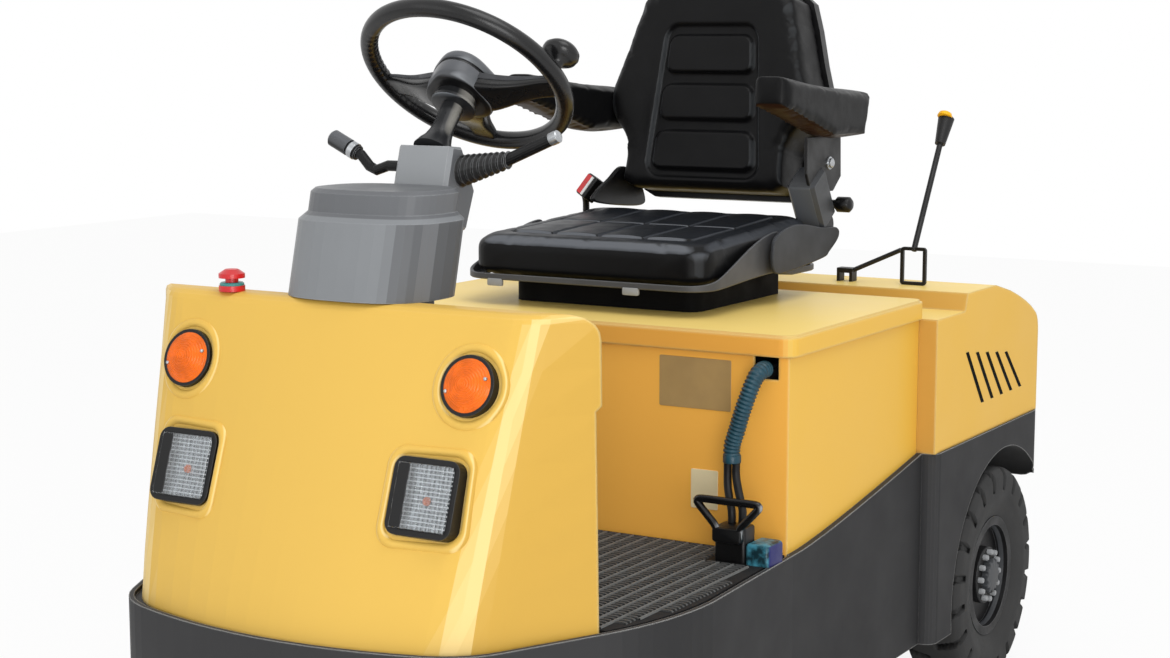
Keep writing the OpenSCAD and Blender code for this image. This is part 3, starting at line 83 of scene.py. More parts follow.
class TractorColours(bpy.types.PropertyGroup):
    """Colours of the tractor's finishes."""
    paint: colour_prop("Body paint", "Warm yellow of the box, lid and rear body", (229, 187, 90))
    skirt: colour_prop("Skirt", "Dark grey of the bumper and skirts", (58, 58, 59))
    vinyl: colour_prop("Seat vinyl", "Black of the seat cover", (15, 15, 16))
    rubber: colour_prop("Tyre rubber", "Dark grey of the tyres", (56, 56, 56))
    console: colour_prop("Console", "Grey of the console", (126, 129, 132))
    amber: colour_prop("Indicator", "Orange of the indicator lenses", (243, 112, 26))
    conduit: colour_prop("Conduit", "Teal of the corrugated battery conduit", (28, 68, 82))


class TractorSizes(bpy.types.PropertyGroup):
    """Sizes of the pieces that are made here."""
    seam_depth: length_prop("Seam depth", "Depth of the sewn lines in the seat", 0.005)
    swell: length_prop("Pad swell", "Most that a pad's cover may swell from its start", 0.007)
    voxel: length_prop("Pad mesh", "Mesh size of the padded covers", 0.006)
    lug_depth: length_prop("Lug depth", "Depth of the tyres' grooves", 0.014)
    lugs: IntProperty(name="Lugs", description="Lugs on each shoulder of a tyre", default=20, min=10, max=30)
    rib_pitch: length_prop("Conduit pitch", "Distance between the conduit's ribs", 0.0068)
    bar_length: length_prop("Mat bar", "Length of a raised bar of the floor mat", 0.021)


class TractorView(bpy.types.PropertyGroup):
    """Camera that looks at the tractor's front left corner."""
    place: FloatVectorProperty(name="Place", description="Place of the camera", subtype="TRANSLATION",
                               unit="LENGTH", size=3, default=(1.96376, -3.42386, 1.35124))
    azimuth: FloatProperty(name="Azimuth", description="Turn of the camera about the vertical",
                           subtype="ANGLE", unit="ROTATION", default=float(np.radians(30.80)))
    dip: FloatProperty(name="Dip", description="How far the camera looks down", subtype="ANGLE",
                       unit="ROTATION", default=float(np.radians(7.91)))
    lens: FloatProperty(name="Lens", description="Focal length for a sensor 36 mm wide",
                        subtype="DISTANCE_CAMERA", default=64.615)


# Meshes

def angles(count):
    """Even steps once round a circle, in radians."""
    return np.linspace(0, 2 * np.pi, count, endpoint=False)


def circle(count):
    """Points of a unit circle, as pairs."""
    return np.stack([np.cos(angles(count)), np.sin(angles(count))], -1)


def step_up(x, a, b):
    """Smooth rise from 0 at a to 1 at b."""
    t = np.clip((x - a) / (b - a), 0.0, 1.0)
    return t * t * (3 - 2 * t)


def inside(u, v, half_u, half_v, corner, soft):
    """1 inside a round-cornered rectangle and 0 outside, with a soft edge, from the distance to its
    outline."""
    du, dv = np.abs(u) - half_u + corner, np.abs(v) - half_v + corner
    d = np.hypot(np.maximum(du, 0), np.maximum(dv, 0)) + np.minimum(np.maximum(du, dv), 0) - corner
    return 1 - step_up(d, -soft, soft)


def line(u, at, width):
    """A groove of unit depth along the line u = at: a bell curve of the given width."""
    return np.exp(-((u - at) / width) ** 2)


def grid(points, round_u=False, round_v=False, caps=False):
    """Quads over a grid of points: rows run along u and columns along v, either closed on itself; the first
    and last rows may be closed by a flat face each."""
    nu, nv = points.shape[:2]
    ids = np.arange(nu * nv).reshape(nu, nv)
    a, b = (ids, np.roll(ids, -1, 0)) if round_u else (ids[:-1], ids[1:])
    if round_v:
        quads = np.stack([a, np.roll(a, -1, 1), np.roll(b, -1, 1), b], -1)
    else:
        quads = np.stack([a[:, :-1], a[:, 1:], b[:, 1:], b[:, :-1]], -1)
    faces = quads.reshape(-1, 4).tolist()
    if caps:
        faces += [ids[0][::-1].tolist(), ids[-1].tolist()]
    return points.reshape(-1, 3), faces


def repeated(copies, faces):
    """One small shape many times: each copy's points, and its faces counted on by the points of a copy."""
    n = copies.shape[1]
    return copies.reshape(-1, 3), [[i + k * n for i in face] for k in range(len(copies)) for face in faces]


def piece(body, name, shape, finish, slot, smooth=True, outward=True, angle=None, stands_for=None):
    """Put points and faces into an object at the origin, turn its faces outwards and let it ride on a body,
    in place of a solid where one is named."""
    points, faces = shape
    mesh = bpy.data.meshes.new(name)
    mesh.from_pydata(np.asarray(points, float).tolist(), [], faces)
    if outward:
        bm = bmesh.new()
        bm.from_mesh(mesh)
        bmesh.ops.recalc_face_normals(bm, faces=bm.faces)
        bm.to_mesh(mesh)
        bm.free()
    mesh.polygons.foreach_set("use_smooth", np.full(len(mesh.polygons), smooth))
    if angle is not None:
        mesh.set_sharp_from_angle(angle=np.radians(angle))
    mesh.update()
    obj = bpy.data.objects.new(name, mesh)
    bpy.context.scene.collection.objects.link(obj)
    obj.data.materials.append(made[finish])
    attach(obj, body)
    if stands_for is not None:
        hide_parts(stands_for)
    return obj


chassis_piece = partial(piece, "chassis")
lid_piece = partial(piece, "battery_lid")
steering_piece = partial(piece, "steering")


def mesh_points(mesh, key="co"):
    """A mesh's points, or their normals, as rows."""
    values = np.empty(len(mesh.vertices) * 3)
    mesh.vertices.foreach_get(key, values)
    return values.reshape(-1, 3)


def set_points(mesh, points):
    """Move a mesh's points."""
    mesh.vertices.foreach_set("co", points.ravel())
    mesh.update()


def solid(name):
    """Points and faces of a CAD solid, to be shaped further."""
    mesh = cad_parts[name].data
    return mesh_points(mesh), [list(p.vertices) for p in mesh.polygons]


def between(a, b, c, d, f):
    """Catmull-Rom cubic from b to c at the share f, with a before and d after them."""
    return 0.5 * (2 * b + (c - a) * f + (2 * a - 5 * b + 4 * c - d) * f ** 2 + (3 * b - a - 3 * c + d)
                  * f ** 3)


def length_to(points):
    """Length along a line of points up to each of them."""
    return np.concatenate([[0], np.cumsum(np.linalg.norm(np.diff(points, axis=0), axis=1))])


def smooth_path(points, count):
    """Catmull-Rom curve through the points, at even steps along its length, and that length."""
    p = np.asarray(points, float)
    q = np.vstack([2 * p[0] - p[1], p, 2 * p[-1] - p[-2]])
    t = np.linspace(0, len(p) - 1, 40 * len(p))
    i = np.minimum(t.astype(int), len(p) - 2)
    fine = between(q[i], q[i + 1], q[i + 2], q[i + 3], (t - i)[:, None])
    s = length_to(fine)
    even = np.linspace(0, s[-1], count)
    return np.stack([np.interp(even, s, fine[:, k]) for k in range(3)], -1), s[-1]


def closed_curve(points, count):
    """Closed Catmull-Rom curve through pairs of values, at even steps from each to the next."""
    p = np.asarray(points, float)
    t = np.linspace(0, len(p), count, endpoint=False)
    i = t.astype(int)
    return between(*(p[(i + k) % len(p)] for k in (-1, 0, 1, 2)), (t - i)[:, None])


def evenly(outline, count):
    """A closed outline with points at even steps along its length."""
    o = np.vstack([outline, outline[:1]])
    s = length_to(o)
    at = np.linspace(0, s[-1], count, endpoint=False)
    return np.stack([np.interp(at, s, o[:, k]) for k in range(2)], -1)


def across(path, up):
    """Two directions square to a path at each of its points, from the cross product with a fixed
    direction."""
    step = np.roll(path, -1, 0) - np.roll(path, 1, 0)
    step[0], step[-1] = path[1] - path[0], path[-1] - path[-2]
    along = step / np.linalg.norm(step, axis=1, keepdims=True)
    side = np.cross(along, up)
    side /= np.linalg.norm(side, axis=1, keepdims=True)
    return side, np.cross(side, along)


def tube(path, radius, sides=16, up=LEFT):
    """A circle carried along a path: point + radius (cos v, sin v) on the two directions square to it."""
    side, lift = across(path, np.asarray(up, float))
    c = circle(sides)
    r = np.broadcast_to(np.asarray(radius, float), len(path))[:, None, None]
    ring = c[None, :, :1] * side[:, None] + c[None, :, 1:] * lift[:, None]
    return grid(path[:, None] + r * ring, round_v=True, caps=True)


def turned(profile, origin, axis, across_axis, sides=48, caps=True):
    """A profile of (radius, height) pairs turned about an axis through the origin."""
    axis, x = np.asarray(axis, float), np.asarray(across_axis, float)
    c = circle(sides)
    ring = c[:, :1] * x + c[:, 1:] * np.cross(axis, x)
    p = np.asarray(profile, float)
    rows = np.asarray(origin) + p[:, 0, None, None] * ring[None] + (p[:, 1, None] * axis)[:, None]
    return grid(rows, round_v=True, caps=caps)


def rounded_outline(w, h, r, steps=6):
    """Closed outline of a rectangle with round corners, as pairs, from the right side round."""
    a = np.linspace(0, np.pi / 2, steps + 1)
    turn = np.arange(4)[:, None] * np.pi / 2 + a[None]
    corner = np.array([[1, 1], [-1, 1], [-1, -1], [1, -1]]) * [w / 2 - r, h / 2 - r]
    return (corner[:, None] + r * np.stack([np.cos(turn), np.sin(turn)], -1)).reshape(-1, 2)


def slab(w, h, t, r, edge, origin, x_axis, y_axis):
    """A plate with round corners and a chamfered rim: outlines drawn in by the edge, stacked along its
    normal."""
    x_axis, y_axis = np.asarray(x_axis, float), np.asarray(y_axis, float)
    n = np.cross(x_axis, y_axis)
    levels = [(0, 0), (0, t - edge), (edge * 0.35, t - edge * 0.3), (edge, t)]
    rows = [np.asarray(origin) + o[:, :1] * x_axis + o[:, 1:] * y_axis + z * n
            for d, z in levels for o in [rounded_outline(w - 2 * d, h - 2 * d, max(r - d, 0.0005))]]
    return grid(np.array(rows), round_v=True, caps=True)


def upright_plate(outline, x0, x1, edge):
    """A plate that stands along the vehicle: an outline of pairs along and up, chamfered at both faces."""
    after, before = np.roll(outline, -1, 0), np.roll(outline, 1, 0)
    step = after - before
    inward = np.stack([-step[:, 1], step[:, 0]], -1) / np.linalg.norm(step, axis=1, keepdims=True)
    inward *= np.sign(np.sum(outline[:, 0] * after[:, 1] - after[:, 0] * outline[:, 1]))
    run = np.sign(x1 - x0) * edge
    rows = [np.c_[np.full(len(outline), x), outline + d * inward]
            for x, d in ((x0, edge), (x0 + run, 0), (x1 - run, 0), (x1, edge))]
    return grid(np.array(rows), round_v=True, caps=True)


# Finishes

class Finish:
    """A material's node tree with short words for the nodes that the finishes share."""

    def __init__(self, name, colour, roughness, metallic=0.0, **sockets):
        self.material = bpy.data.materials.new(name)
        self.material.use_nodes = True
        self.tree = self.material.node_tree
        self.shader = self.tree.nodes["Principled BSDF"]
        self.colour = tuple(colour)
        self.set(self.shader, "Base Color", (*self.colour, 1.0))
        self.set(self.shader, "Roughness", roughness)
        self.set(self.shader, "Metallic", metallic)
        for key, value in sockets.items():
            self.set(self.shader, key.replace("_", " "), value)
        place = self.node("ShaderNodeTexCoord")
        self.coords, self.normals = place.outputs["Object"], place.outputs["Normal"]
        self.normal = None
        made[name] = self.material

    def node(self, kind, **props):
        """A new node with some of its settings."""
        n = self.tree.nodes.new(kind)
        for key, value in props.items():
            setattr(n, key, value)
        return n

    def set(self, node, socket, value):
        """A constant value, set on the socket itself."""
        node.inputs[socket].default_value = value

    def link(self, out, node, socket):
        """A link from one node's output to another's input."""
        self.tree.links.new(out, node.inputs[socket])

    def noise(self, scale, detail=3.0, stretch=None):
        """Noise over the object's own coordinates, stretched where asked."""
        n = self.node("ShaderNodeTexNoise")
        self.set(n, "Scale", scale)
        self.set(n, "Detail", detail)
        vector = self.coords
        if stretch is not None:
            m = self.node("ShaderNodeMapping")
            self.set(m, "Scale", stretch)
            self.link(self.coords, m, "Vector")
            vector = m.outputs["Vector"]
        self.link(vector, n, "Vector")
        return n.outputs["Fac"]

    def cells(self, scale):
        """Distance to the edges of small cells."""
        n = self.node("ShaderNodeTexVoronoi", feature="DISTANCE_TO_EDGE")
        self.set(n, "Scale", scale)
        self.link(self.coords, n, "Vector")
        return n.outputs["Distance"]

    def ranged(self, value, low, high, to_low=0.0, to_high=1.0):
        """A value's range made another, held at its ends."""
        n = self.node("ShaderNodeMapRange")
        for socket, v in (("From Min", low), ("From Max", high), ("To Min", to_low), ("To Max", to_high)):
            self.set(n, socket, v)
        self.link(value, n, "Value")
        return n.outputs["Result"]

    def dot(self, vector, way):
        """How far a vector lies along a fixed way."""
        n = self.node("ShaderNodeVectorMath", operation="DOT_PRODUCT")
        self.link(vector, n, 0)
        self.set(n, 1, way)
        return n.outputs["Value"]

    def blended(self, factor, a, b):
        """A mix of two colours, each a constant or another node's output."""
        n = self.node("ShaderNodeMix", data_type="RGBA")
        self.link(factor, n, 0)
        for k, c in ((6, a), (7, b)):
            if isinstance(c, bpy.types.NodeSocket):
                self.link(c, n, k)
            else:
                self.set(n, k, (*c, 1.0))
        return n.outputs[2]

    def shade(self, k):
        """The finish's own colour, darker or lighter."""
        return tuple(min(1.0, c * k) for c in self.colour)

    def toned(self, tone):
        """The shader takes a tone, on which the next words build."""
        self.tone = tone
        self.link(tone, self.shader, "Base Color")
        return self

    def mottled(self, scale, dark, light):
        """Colour drifts between a darker and a lighter tone with noise."""
        drift = self.ranged(self.noise(scale), 0.35, 0.65)
        return self.toned(self.blended(drift, self.shade(dark), self.shade(light)))

    def rough(self, scale, low, high):
        """Roughness drifts between two values with noise."""
        self.link(self.ranged(self.noise(scale), 0.3, 0.7, low, high), self.shader, "Roughness")
        return self

    def faced(self, way, low, high, colour):
        """Faces that look along the given way take another tone, from the solid's own normals."""
        share = self.ranged(self.dot(self.normals, way), low, high)
        return self.toned(self.blended(share, self.tone, colour))

    def past(self, way, low, high, colour):
        """What lies further along the given way than the low mark takes another tone, whole at the high
        mark."""
        return self.toned(self.blended(self.ranged(self.dot(self.coords, way), low, high), self.tone,
                                       colour))

    def ribbed(self, way, pitch, low, high, colour):
        """Lines of another tone across the given way, from a sine wave of that pitch."""
        wave = self.node("ShaderNodeMath", operation="SINE")
        self.link(self.dot(self.coords, tuple(2 * np.pi / pitch * k for k in way)), wave, 0)
        return self.toned(self.blended(self.ranged(wave.outputs[0], low, high), self.tone, colour))

    def edges(self, radius, colour, amount, low=0.02, high=0.3):
        """Edges are rounded by a bevel of the normal and take a paler tone where that normal leaves the
        face: a painted highlight along the edges."""
        bevel = self.node("ShaderNodeBevel", samples=4)
        self.set(bevel, "Radius", radius)
        self.normal = bevel.outputs["Normal"]
        self.link(self.normal, self.shader, "Normal")
        leaving = self.node("ShaderNodeVectorMath", operation="DOT_PRODUCT")
        self.link(self.normal, leaving, 0)
        self.link(self.node("ShaderNodeNewGeometry").outputs["Normal"], leaving, 1)
        # painted highlight: the paler tone where the bevelled normal turns away from the face
        edge_highlight = self.ranged(leaving.outputs["Value"], 1.0 - low, 1.0 - high, 0.0, amount)
        return self.toned(self.blended(edge_highlight, self.tone, colour))

    def hollows(self, distance, colour):
        """Grooves and corners that little light reaches take a darker tone."""
        ao = self.node("ShaderNodeAmbientOcclusion", samples=6)
        self.set(ao, "Distance", distance)
        return self.toned(self.blended(self.ranged(ao.outputs["AO"], 0.30, 0.80), colour, self.tone))

    def bump(self, height, strength, distance):
        """Height of a pattern turns the normal."""
        b = self.node("ShaderNodeBump")
        self.set(b, "Strength", strength)
        self.set(b, "Distance", distance)
        self.link(height, b, "Height")
        if self.normal is not None:
            self.link(self.normal, b, "Normal")
        self.normal = b.outputs["Normal"]
        self.link(self.normal, self.shader, "Normal")
        return self


def paint_finishes(c):
    """Yellow paint with painted light and shade by face: fronts shaded per panel, tops lit, edges
    highlighted.
    """
    # painted light and shade: pale is the edge highlight, side the shaded sides, top the lit tops
    pale, side, top = linear(250, 222, 150), linear(230, 182, 72), linear(252, 220, 128)
    gloss = dict(Coat_Weight=0.06, Coat_Roughness=0.15, Specular_IOR_Level=0.2)
    # painted shade: each panel's front faces take their own darker or lighter tone
    front_shades = {"yellow_paint": linear(238, 170, 72), "box_paint_shaded": linear(255, 186, 80),
              "body_paint_shaded": linear(203, 156, 75)}
    for name, front in front_shades.items():
        f = Finish(name, c.paint, 0.45, **gloss).mottled(1.6, 0.985, 1.015).rough(5.0, 0.40, 0.52)
        for way, tone in ((FRONT, front), (ABOVE, top), (LEFT, side), (RIGHT, side)):
            f.faced(way, 0.80, 0.97, tone)
        f.edges(0.007, pale, 0.75, 0.008, 0.20).bump(f.noise(260.0, 2.0), 0.05, 0.0005)

    f = Finish("cowl_paint", linear(221, 180, 84), 0.45, **gloss)
    f.mottled(1.6, 0.985, 1.015).rough(5.0, 0.40, 0.52)
    # painted light and shade: a paler band on the rounded front corners as highlight, darker flanks as shade
    for way in (LEFT, RIGHT):
        f.faced(way, 0.36, 0.50, linear(236, 205, 132)).faced(way, 0.62, 0.74, linear(205, 163, 71))
    f.edges(0.006, pale, 0.8, 0.008, 0.20).bump(f.noise(260.0, 2.0), 0.05, 0.0005)


def plastic_finishes(c):
    """Moulded plastics: the skirts, black and grey mouldings, the console and the small coloured trims."""
    f = Finish("skirt_plastic", c.skirt, 0.6, Specular_IOR_Level=0.12)
    f.mottled(5.0, 0.97, 1.03).rough(9.0, 0.50, 0.62)
    # painted shade: the skirts' sides darker, and faces that look down, inside the wheel arches, near black
    for way in (LEFT, RIGHT):
        f.faced(way, 0.90, 0.99, linear(46, 46, 47))
    f.faced(BELOW, 0.12, 0.40, linear(8, 8, 9))
    # painted highlight: light grey edge lines
    f.edges(0.0035, linear(176, 176, 174), 0.95, 0.02, 0.14).bump(f.noise(1100.0, 3.0), 0.12, 0.0004)

    f = Finish("black_plastic", linear(14, 14, 15), 0.34, Specular_IOR_Level=0.3)
    f.mottled(10.0, 0.85, 1.2).rough(18.0, 0.28, 0.42)
    # painted highlight: paler edges
    f.edges(0.002, linear(110, 112, 114), 0.45).bump(f.noise(800.0), 0.1, 0.0004)

    f = Finish("wheel_plastic", linear(15, 15, 16), 0.26, Specular_IOR_Level=0.45)
    f.mottled(14.0, 0.85, 1.2).rough(20.0, 0.2, 0.34)
    # painted highlight: paler edges
    f.edges(0.002, linear(96, 97, 99), 0.4).bump(f.noise(800.0), 0.08, 0.0003)

    f = Finish("grip_plastic", linear(13, 13, 14), 0.26, Specular_IOR_Level=0.4)
    f.mottled(14.0, 0.85, 1.2).rough(20.0, 0.2, 0.34)
    # painted highlight on the handle's outer side
    f.faced((0.93, -0.37, 0.0), 0.80, 0.97, linear(150, 152, 154))
    f.bump(f.noise(800.0), 0.08, 0.0003)

    f = Finish("pan_plastic", linear(70, 71, 74), 0.4, Specular_IOR_Level=0.3)
    f.mottled(10.0, 0.88, 1.1).rough(18.0, 0.34, 0.5)
    # painted highlight: the lip's light top line and edges
    f.edges(0.002, linear(170, 172, 174), 0.6).bump(f.noise(900.0), 0.1, 0.0003)

    f = Finish("grey_plastic", c.console, 0.38, 0.0, Specular_IOR_Level=0.25)
    f.mottled(5.0, 0.97, 1.03).rough(12.0, 0.32, 0.44)
    # painted light and shade round the console's drum: darker and lighter bands by face direction, the rear
    # darker; paler edges as highlight
    f.faced((0.80, -0.60, 0.0), 0.80, 0.93, linear(92, 94, 97))
    f.faced((0.97, -0.24, 0.0), 0.93, 0.99, linear(106, 108, 111))
    f.faced((1.0, 0.1, 0.0), 0.975, 0.999, linear(78, 80, 83)).faced(REAR, 0.2, 0.7, linear(96, 98, 101))
    f.past(ABOVE, 1.0755, 1.0765, linear(100, 102, 105))
    f.edges(0.003, linear(206, 208, 210), 0.6).bump(f.noise(600.0), 0.06, 0.0003)

    f = Finish("column_plastic", linear(150, 153, 156), 0.4, Specular_IOR_Level=0.25)
    f.mottled(5.0, 0.97, 1.03).rough(12.0, 0.34, 0.46)
    # painted shade on the cover's left side and its rear; paler edges as highlight
    f.faced(LEFT, 0.6, 0.9, linear(98, 100, 103)).faced(REAR, 0.2, 0.7, linear(96, 98, 101))
    f.edges(0.003, linear(216, 218, 220), 0.6).bump(f.noise(600.0), 0.06, 0.0003)

    # painted highlight: dark grey for the upper parts of the black wheel arms, with paler edges
    f = Finish("arm_plastic", linear(62, 63, 66), 0.42, Specular_IOR_Level=0.25)
    f.mottled(10.0, 0.9, 1.1).rough(18.0, 0.36, 0.5)
    f.edges(0.002, linear(120, 122, 124), 0.5).bump(f.noise(900.0), 0.1, 0.0003)

    f = Finish("cap_plastic", linear(90, 92, 96), 0.32, 0.0, Specular_IOR_Level=0.3)
    f.mottled(8.0, 0.96, 1.04).rough(14.0, 0.26, 0.4)
    # painted shade under the hub, on faces that look down its shaft, and bands of painted light on its
    # sides; paler edges as highlight
    f.faced((0.0, -0.643, -0.766), 0.62, 0.80, linear(14, 14, 15))
    f.faced((0.30, -0.95, 0.0), 0.80, 0.96, linear(80, 82, 85))
    f.faced((0.62, -0.78, 0.0), 0.86, 0.97, linear(130, 133, 137))
    f.faced((0.85, -0.5, 0.0), 0.88, 0.98, linear(104, 107, 110))
    f.edges(0.0015, linear(190, 192, 194), 0.5).bump(f.noise(700.0), 0.06, 0.0003)

    f = Finish("grey_tab", linear(146, 148, 150), 0.45, Specular_IOR_Level=0.3)
    f.mottled(30.0, 0.94, 1.05).rough(30.0, 0.4, 0.52).bump(f.noise(900.0), 0.08, 0.0003)

    f = Finish("red_plastic", linear(206, 30, 34), 0.3, Coat_Weight=0.2)
    # painted highlight: paler edges
    f.mottled(30.0, 0.85, 1.1).rough(40.0, 0.24, 0.4).edges(0.0015, f.shade(1.5), 0.4)
    f.bump(f.noise(900.0), 0.08, 0.0003)

    f = Finish("white_plastic", linear(226, 228, 228), 0.4, Specular_IOR_Level=0.3)
    f.mottled(30.0, 0.95, 1.0).rough(40.0, 0.34, 0.46).bump(f.noise(900.0), 0.08, 0.0003)

    f = Finish("conduit", c.conduit, 0.36, Specular_IOR_Level=0.35)
    f.mottled(40.0, 0.85, 1.15).rough(60.0, 0.28, 0.45)
    # painted shade on the conduit's side that looks right and forward
    f.faced((-0.86, -0.51, 0.0), 0.55, 0.90, linear(8, 20, 25))
    f.bump(f.noise(900.0), 0.1, 0.0003)

    f = Finish("plug_teal", linear(48, 104, 120), 0.35, Specular_IOR_Level=0.3)
    f.mottled(70.0, 0.2, 2.0).rough(60.0, 0.28, 0.45).faced(LEFT, 0.7, 0.95, linear(22, 25, 92))
    f.bump(f.noise(300.0), 0.2, 0.001)

    f = Finish("grip_cap", linear(252, 186, 28), 0.35, Specular_IOR_Level=0.25)
    f.mottled(60.0, 0.88, 1.06).rough(40.0, 0.3, 0.42).bump(f.noise(900.0), 0.06, 0.0003)

    f = Finish("teal_collar", linear(60, 140, 136), 0.35)
    f.mottled(30.0, 0.85, 1.1).rough(40.0, 0.28, 0.42).bump(f.noise(900.0), 0.08, 0.0003)

    # painted shade: near black for the shade inside the louvre slots
    f = Finish("slot_shade", linear(12, 12, 12), 0.8, Specular_IOR_Level=0.06)
    f.mottled(20.0, 0.8, 1.2).rough(30.0, 0.7, 0.9).bump(f.noise(700.0), 0.1, 0.0003)

    f = Finish("battery_case", linear(58, 60, 62), 0.6)
    # painted highlight: paler edges
    f.mottled(12.0, 0.8, 1.15).rough(20.0, 0.5, 0.7).edges(0.003, f.shade(2.4), 0.4)
    f.bump(f.noise(500.0), 0.15, 0.0005)


def metal_finishes(c):
    """Painted, cast and bright metals."""
    # painted highlight: the paler edges of these metals
    f = Finish("black_steel", linear(20, 20, 21), 0.42, 0.0, Specular_IOR_Level=0.35)
    f.mottled(14.0, 0.8, 1.25).rough(24.0, 0.34, 0.55)
    f.edges(0.0015, linear(120, 122, 124), 0.5).bump(f.noise(500.0), 0.1, 0.0004)

    f = Finish("boss_steel", linear(34, 35, 37), 0.3, Specular_IOR_Level=0.35)
    # painted highlights: bright bands on the boss's faces that look forward and out to the left
    f.mottled(8.0, 0.92, 1.08).rough(14.0, 0.24, 0.38).faced(FRONT, 0.78, 0.92, linear(118, 123, 128))
    f.faced((0.88, -0.47, 0.0), 0.80, 0.95, linear(140, 138, 132)).bump(f.noise(700.0), 0.06, 0.0003)

    f = Finish("gear_steel", linear(52, 54, 57), 0.35, Specular_IOR_Level=0.35)
    f.mottled(12.0, 0.9, 1.1).rough(20.0, 0.28, 0.44)
    # painted highlight on the faces that look forward and down
    f.faced((0.0, -0.85, -0.53), 0.7, 0.95, linear(92, 95, 99))
    f.edges(0.002, linear(150, 152, 155), 0.6).bump(f.noise(700.0), 0.08, 0.0003)

    f = Finish("shield_steel", linear(44, 46, 50), 0.42, Specular_IOR_Level=0.25)
    f.mottled(8.0, 0.9, 1.1).rough(20.0, 0.36, 0.5).past(REAR, 0.30, 0.39, linear(8, 8, 9))
    f.edges(0.002, linear(140, 143, 147), 0.6).bump(f.noise(700.0), 0.08, 0.0003)

    f = Finish("cast_iron", linear(52, 52, 53), 0.62, 0.3)
    f.mottled(20.0, 0.75, 1.25).rough(40.0, 0.5, 0.75).edges(0.003, f.shade(2.6), 0.4)
    f.bump(f.noise(350.0, 5.0), 0.4, 0.0008)

    f = Finish("bright_steel", linear(182, 185, 188), 0.3, 0.85)
    f.mottled(30.0, 0.85, 1.08).rough(60.0, 0.22, 0.42).edges(0.001, f.shade(1.3), 0.4)
    f.bump(f.noise(400.0, stretch=(1.0, 1.0, 8.0)), 0.1, 0.0003)

    f = Finish("wheel_steel", linear(24, 24, 25), 0.5, 0.0, Specular_IOR_Level=0.3)
    f.mottled(18.0, 0.7, 1.3).rough(30.0, 0.4, 0.62).edges(0.002, linear(150, 152, 154), 0.6)
    f.bump(f.noise(420.0, 4.0), 0.2, 0.0005)

    f = Finish("hub_steel", linear(62, 64, 67), 0.45, Specular_IOR_Level=0.25)
    f.mottled(30.0, 0.88, 1.1).rough(30.0, 0.4, 0.52).edges(0.001, f.shade(1.6), 0.4)
    f.bump(f.noise(420.0), 0.1, 0.0004)

    f = Finish("cream_plate", linear(240, 222, 178), 0.5)
    f.mottled(24.0, 0.94, 1.03).rough(30.0, 0.42, 0.58).bump(f.noise(700.0), 0.06, 0.0003)

    f = Finish("taupe_plate", linear(184, 150, 96), 0.42, 0.15)
    f.mottled(18.0, 0.94, 1.05).rough(30.0, 0.36, 0.52).bump(f.noise(700.0), 0.06, 0.0003)


def lens_finishes(c):
    """Clear, amber and red lenses, and the reflector behind the clear one, with its reflection painted as
    ribs.
    """
    f = Finish("clear_lens", linear(236, 240, 242), 0.08, Transmission_Weight=0.92, IOR=1.46)
    f.rough(60.0, 0.05, 0.12).bump(f.noise(240.0), 0.05, 0.0004)

    f = Finish("reflector", linear(176, 179, 183), 0.25, 0.4)
    # painted reflection: dark and bright ribs on the reflector
    f.mottled(120.0, 0.5, 1.1).ribbed(LEFT, 0.0082, -0.1, 0.8, linear(48, 50, 53))
    f.ribbed((0.0, 0.2, 0.98), 0.0064, 0.35, 0.95, linear(240, 243, 245))
    f.rough(90.0, 0.12, 0.3).bump(f.noise(300.0), 0.15, 0.0006)

    f = Finish("amber_lens", c.amber, 0.25, Transmission_Weight=0.1, IOR=1.46, Specular_IOR_Level=0.2)
    f.mottled(45.0, 0.82, 1.12).rough(50.0, 0.16, 0.28).bump(f.cells(190.0), 0.25, 0.0012)

    f = Finish("red_lens", linear(176, 26, 30), 0.2, Coat_Weight=0.4, Transmission_Weight=0.15, IOR=1.46)
    f.mottled(45.0, 0.8, 1.15).rough(50.0, 0.16, 0.3).bump(f.cells(190.0), 0.25, 0.0012)


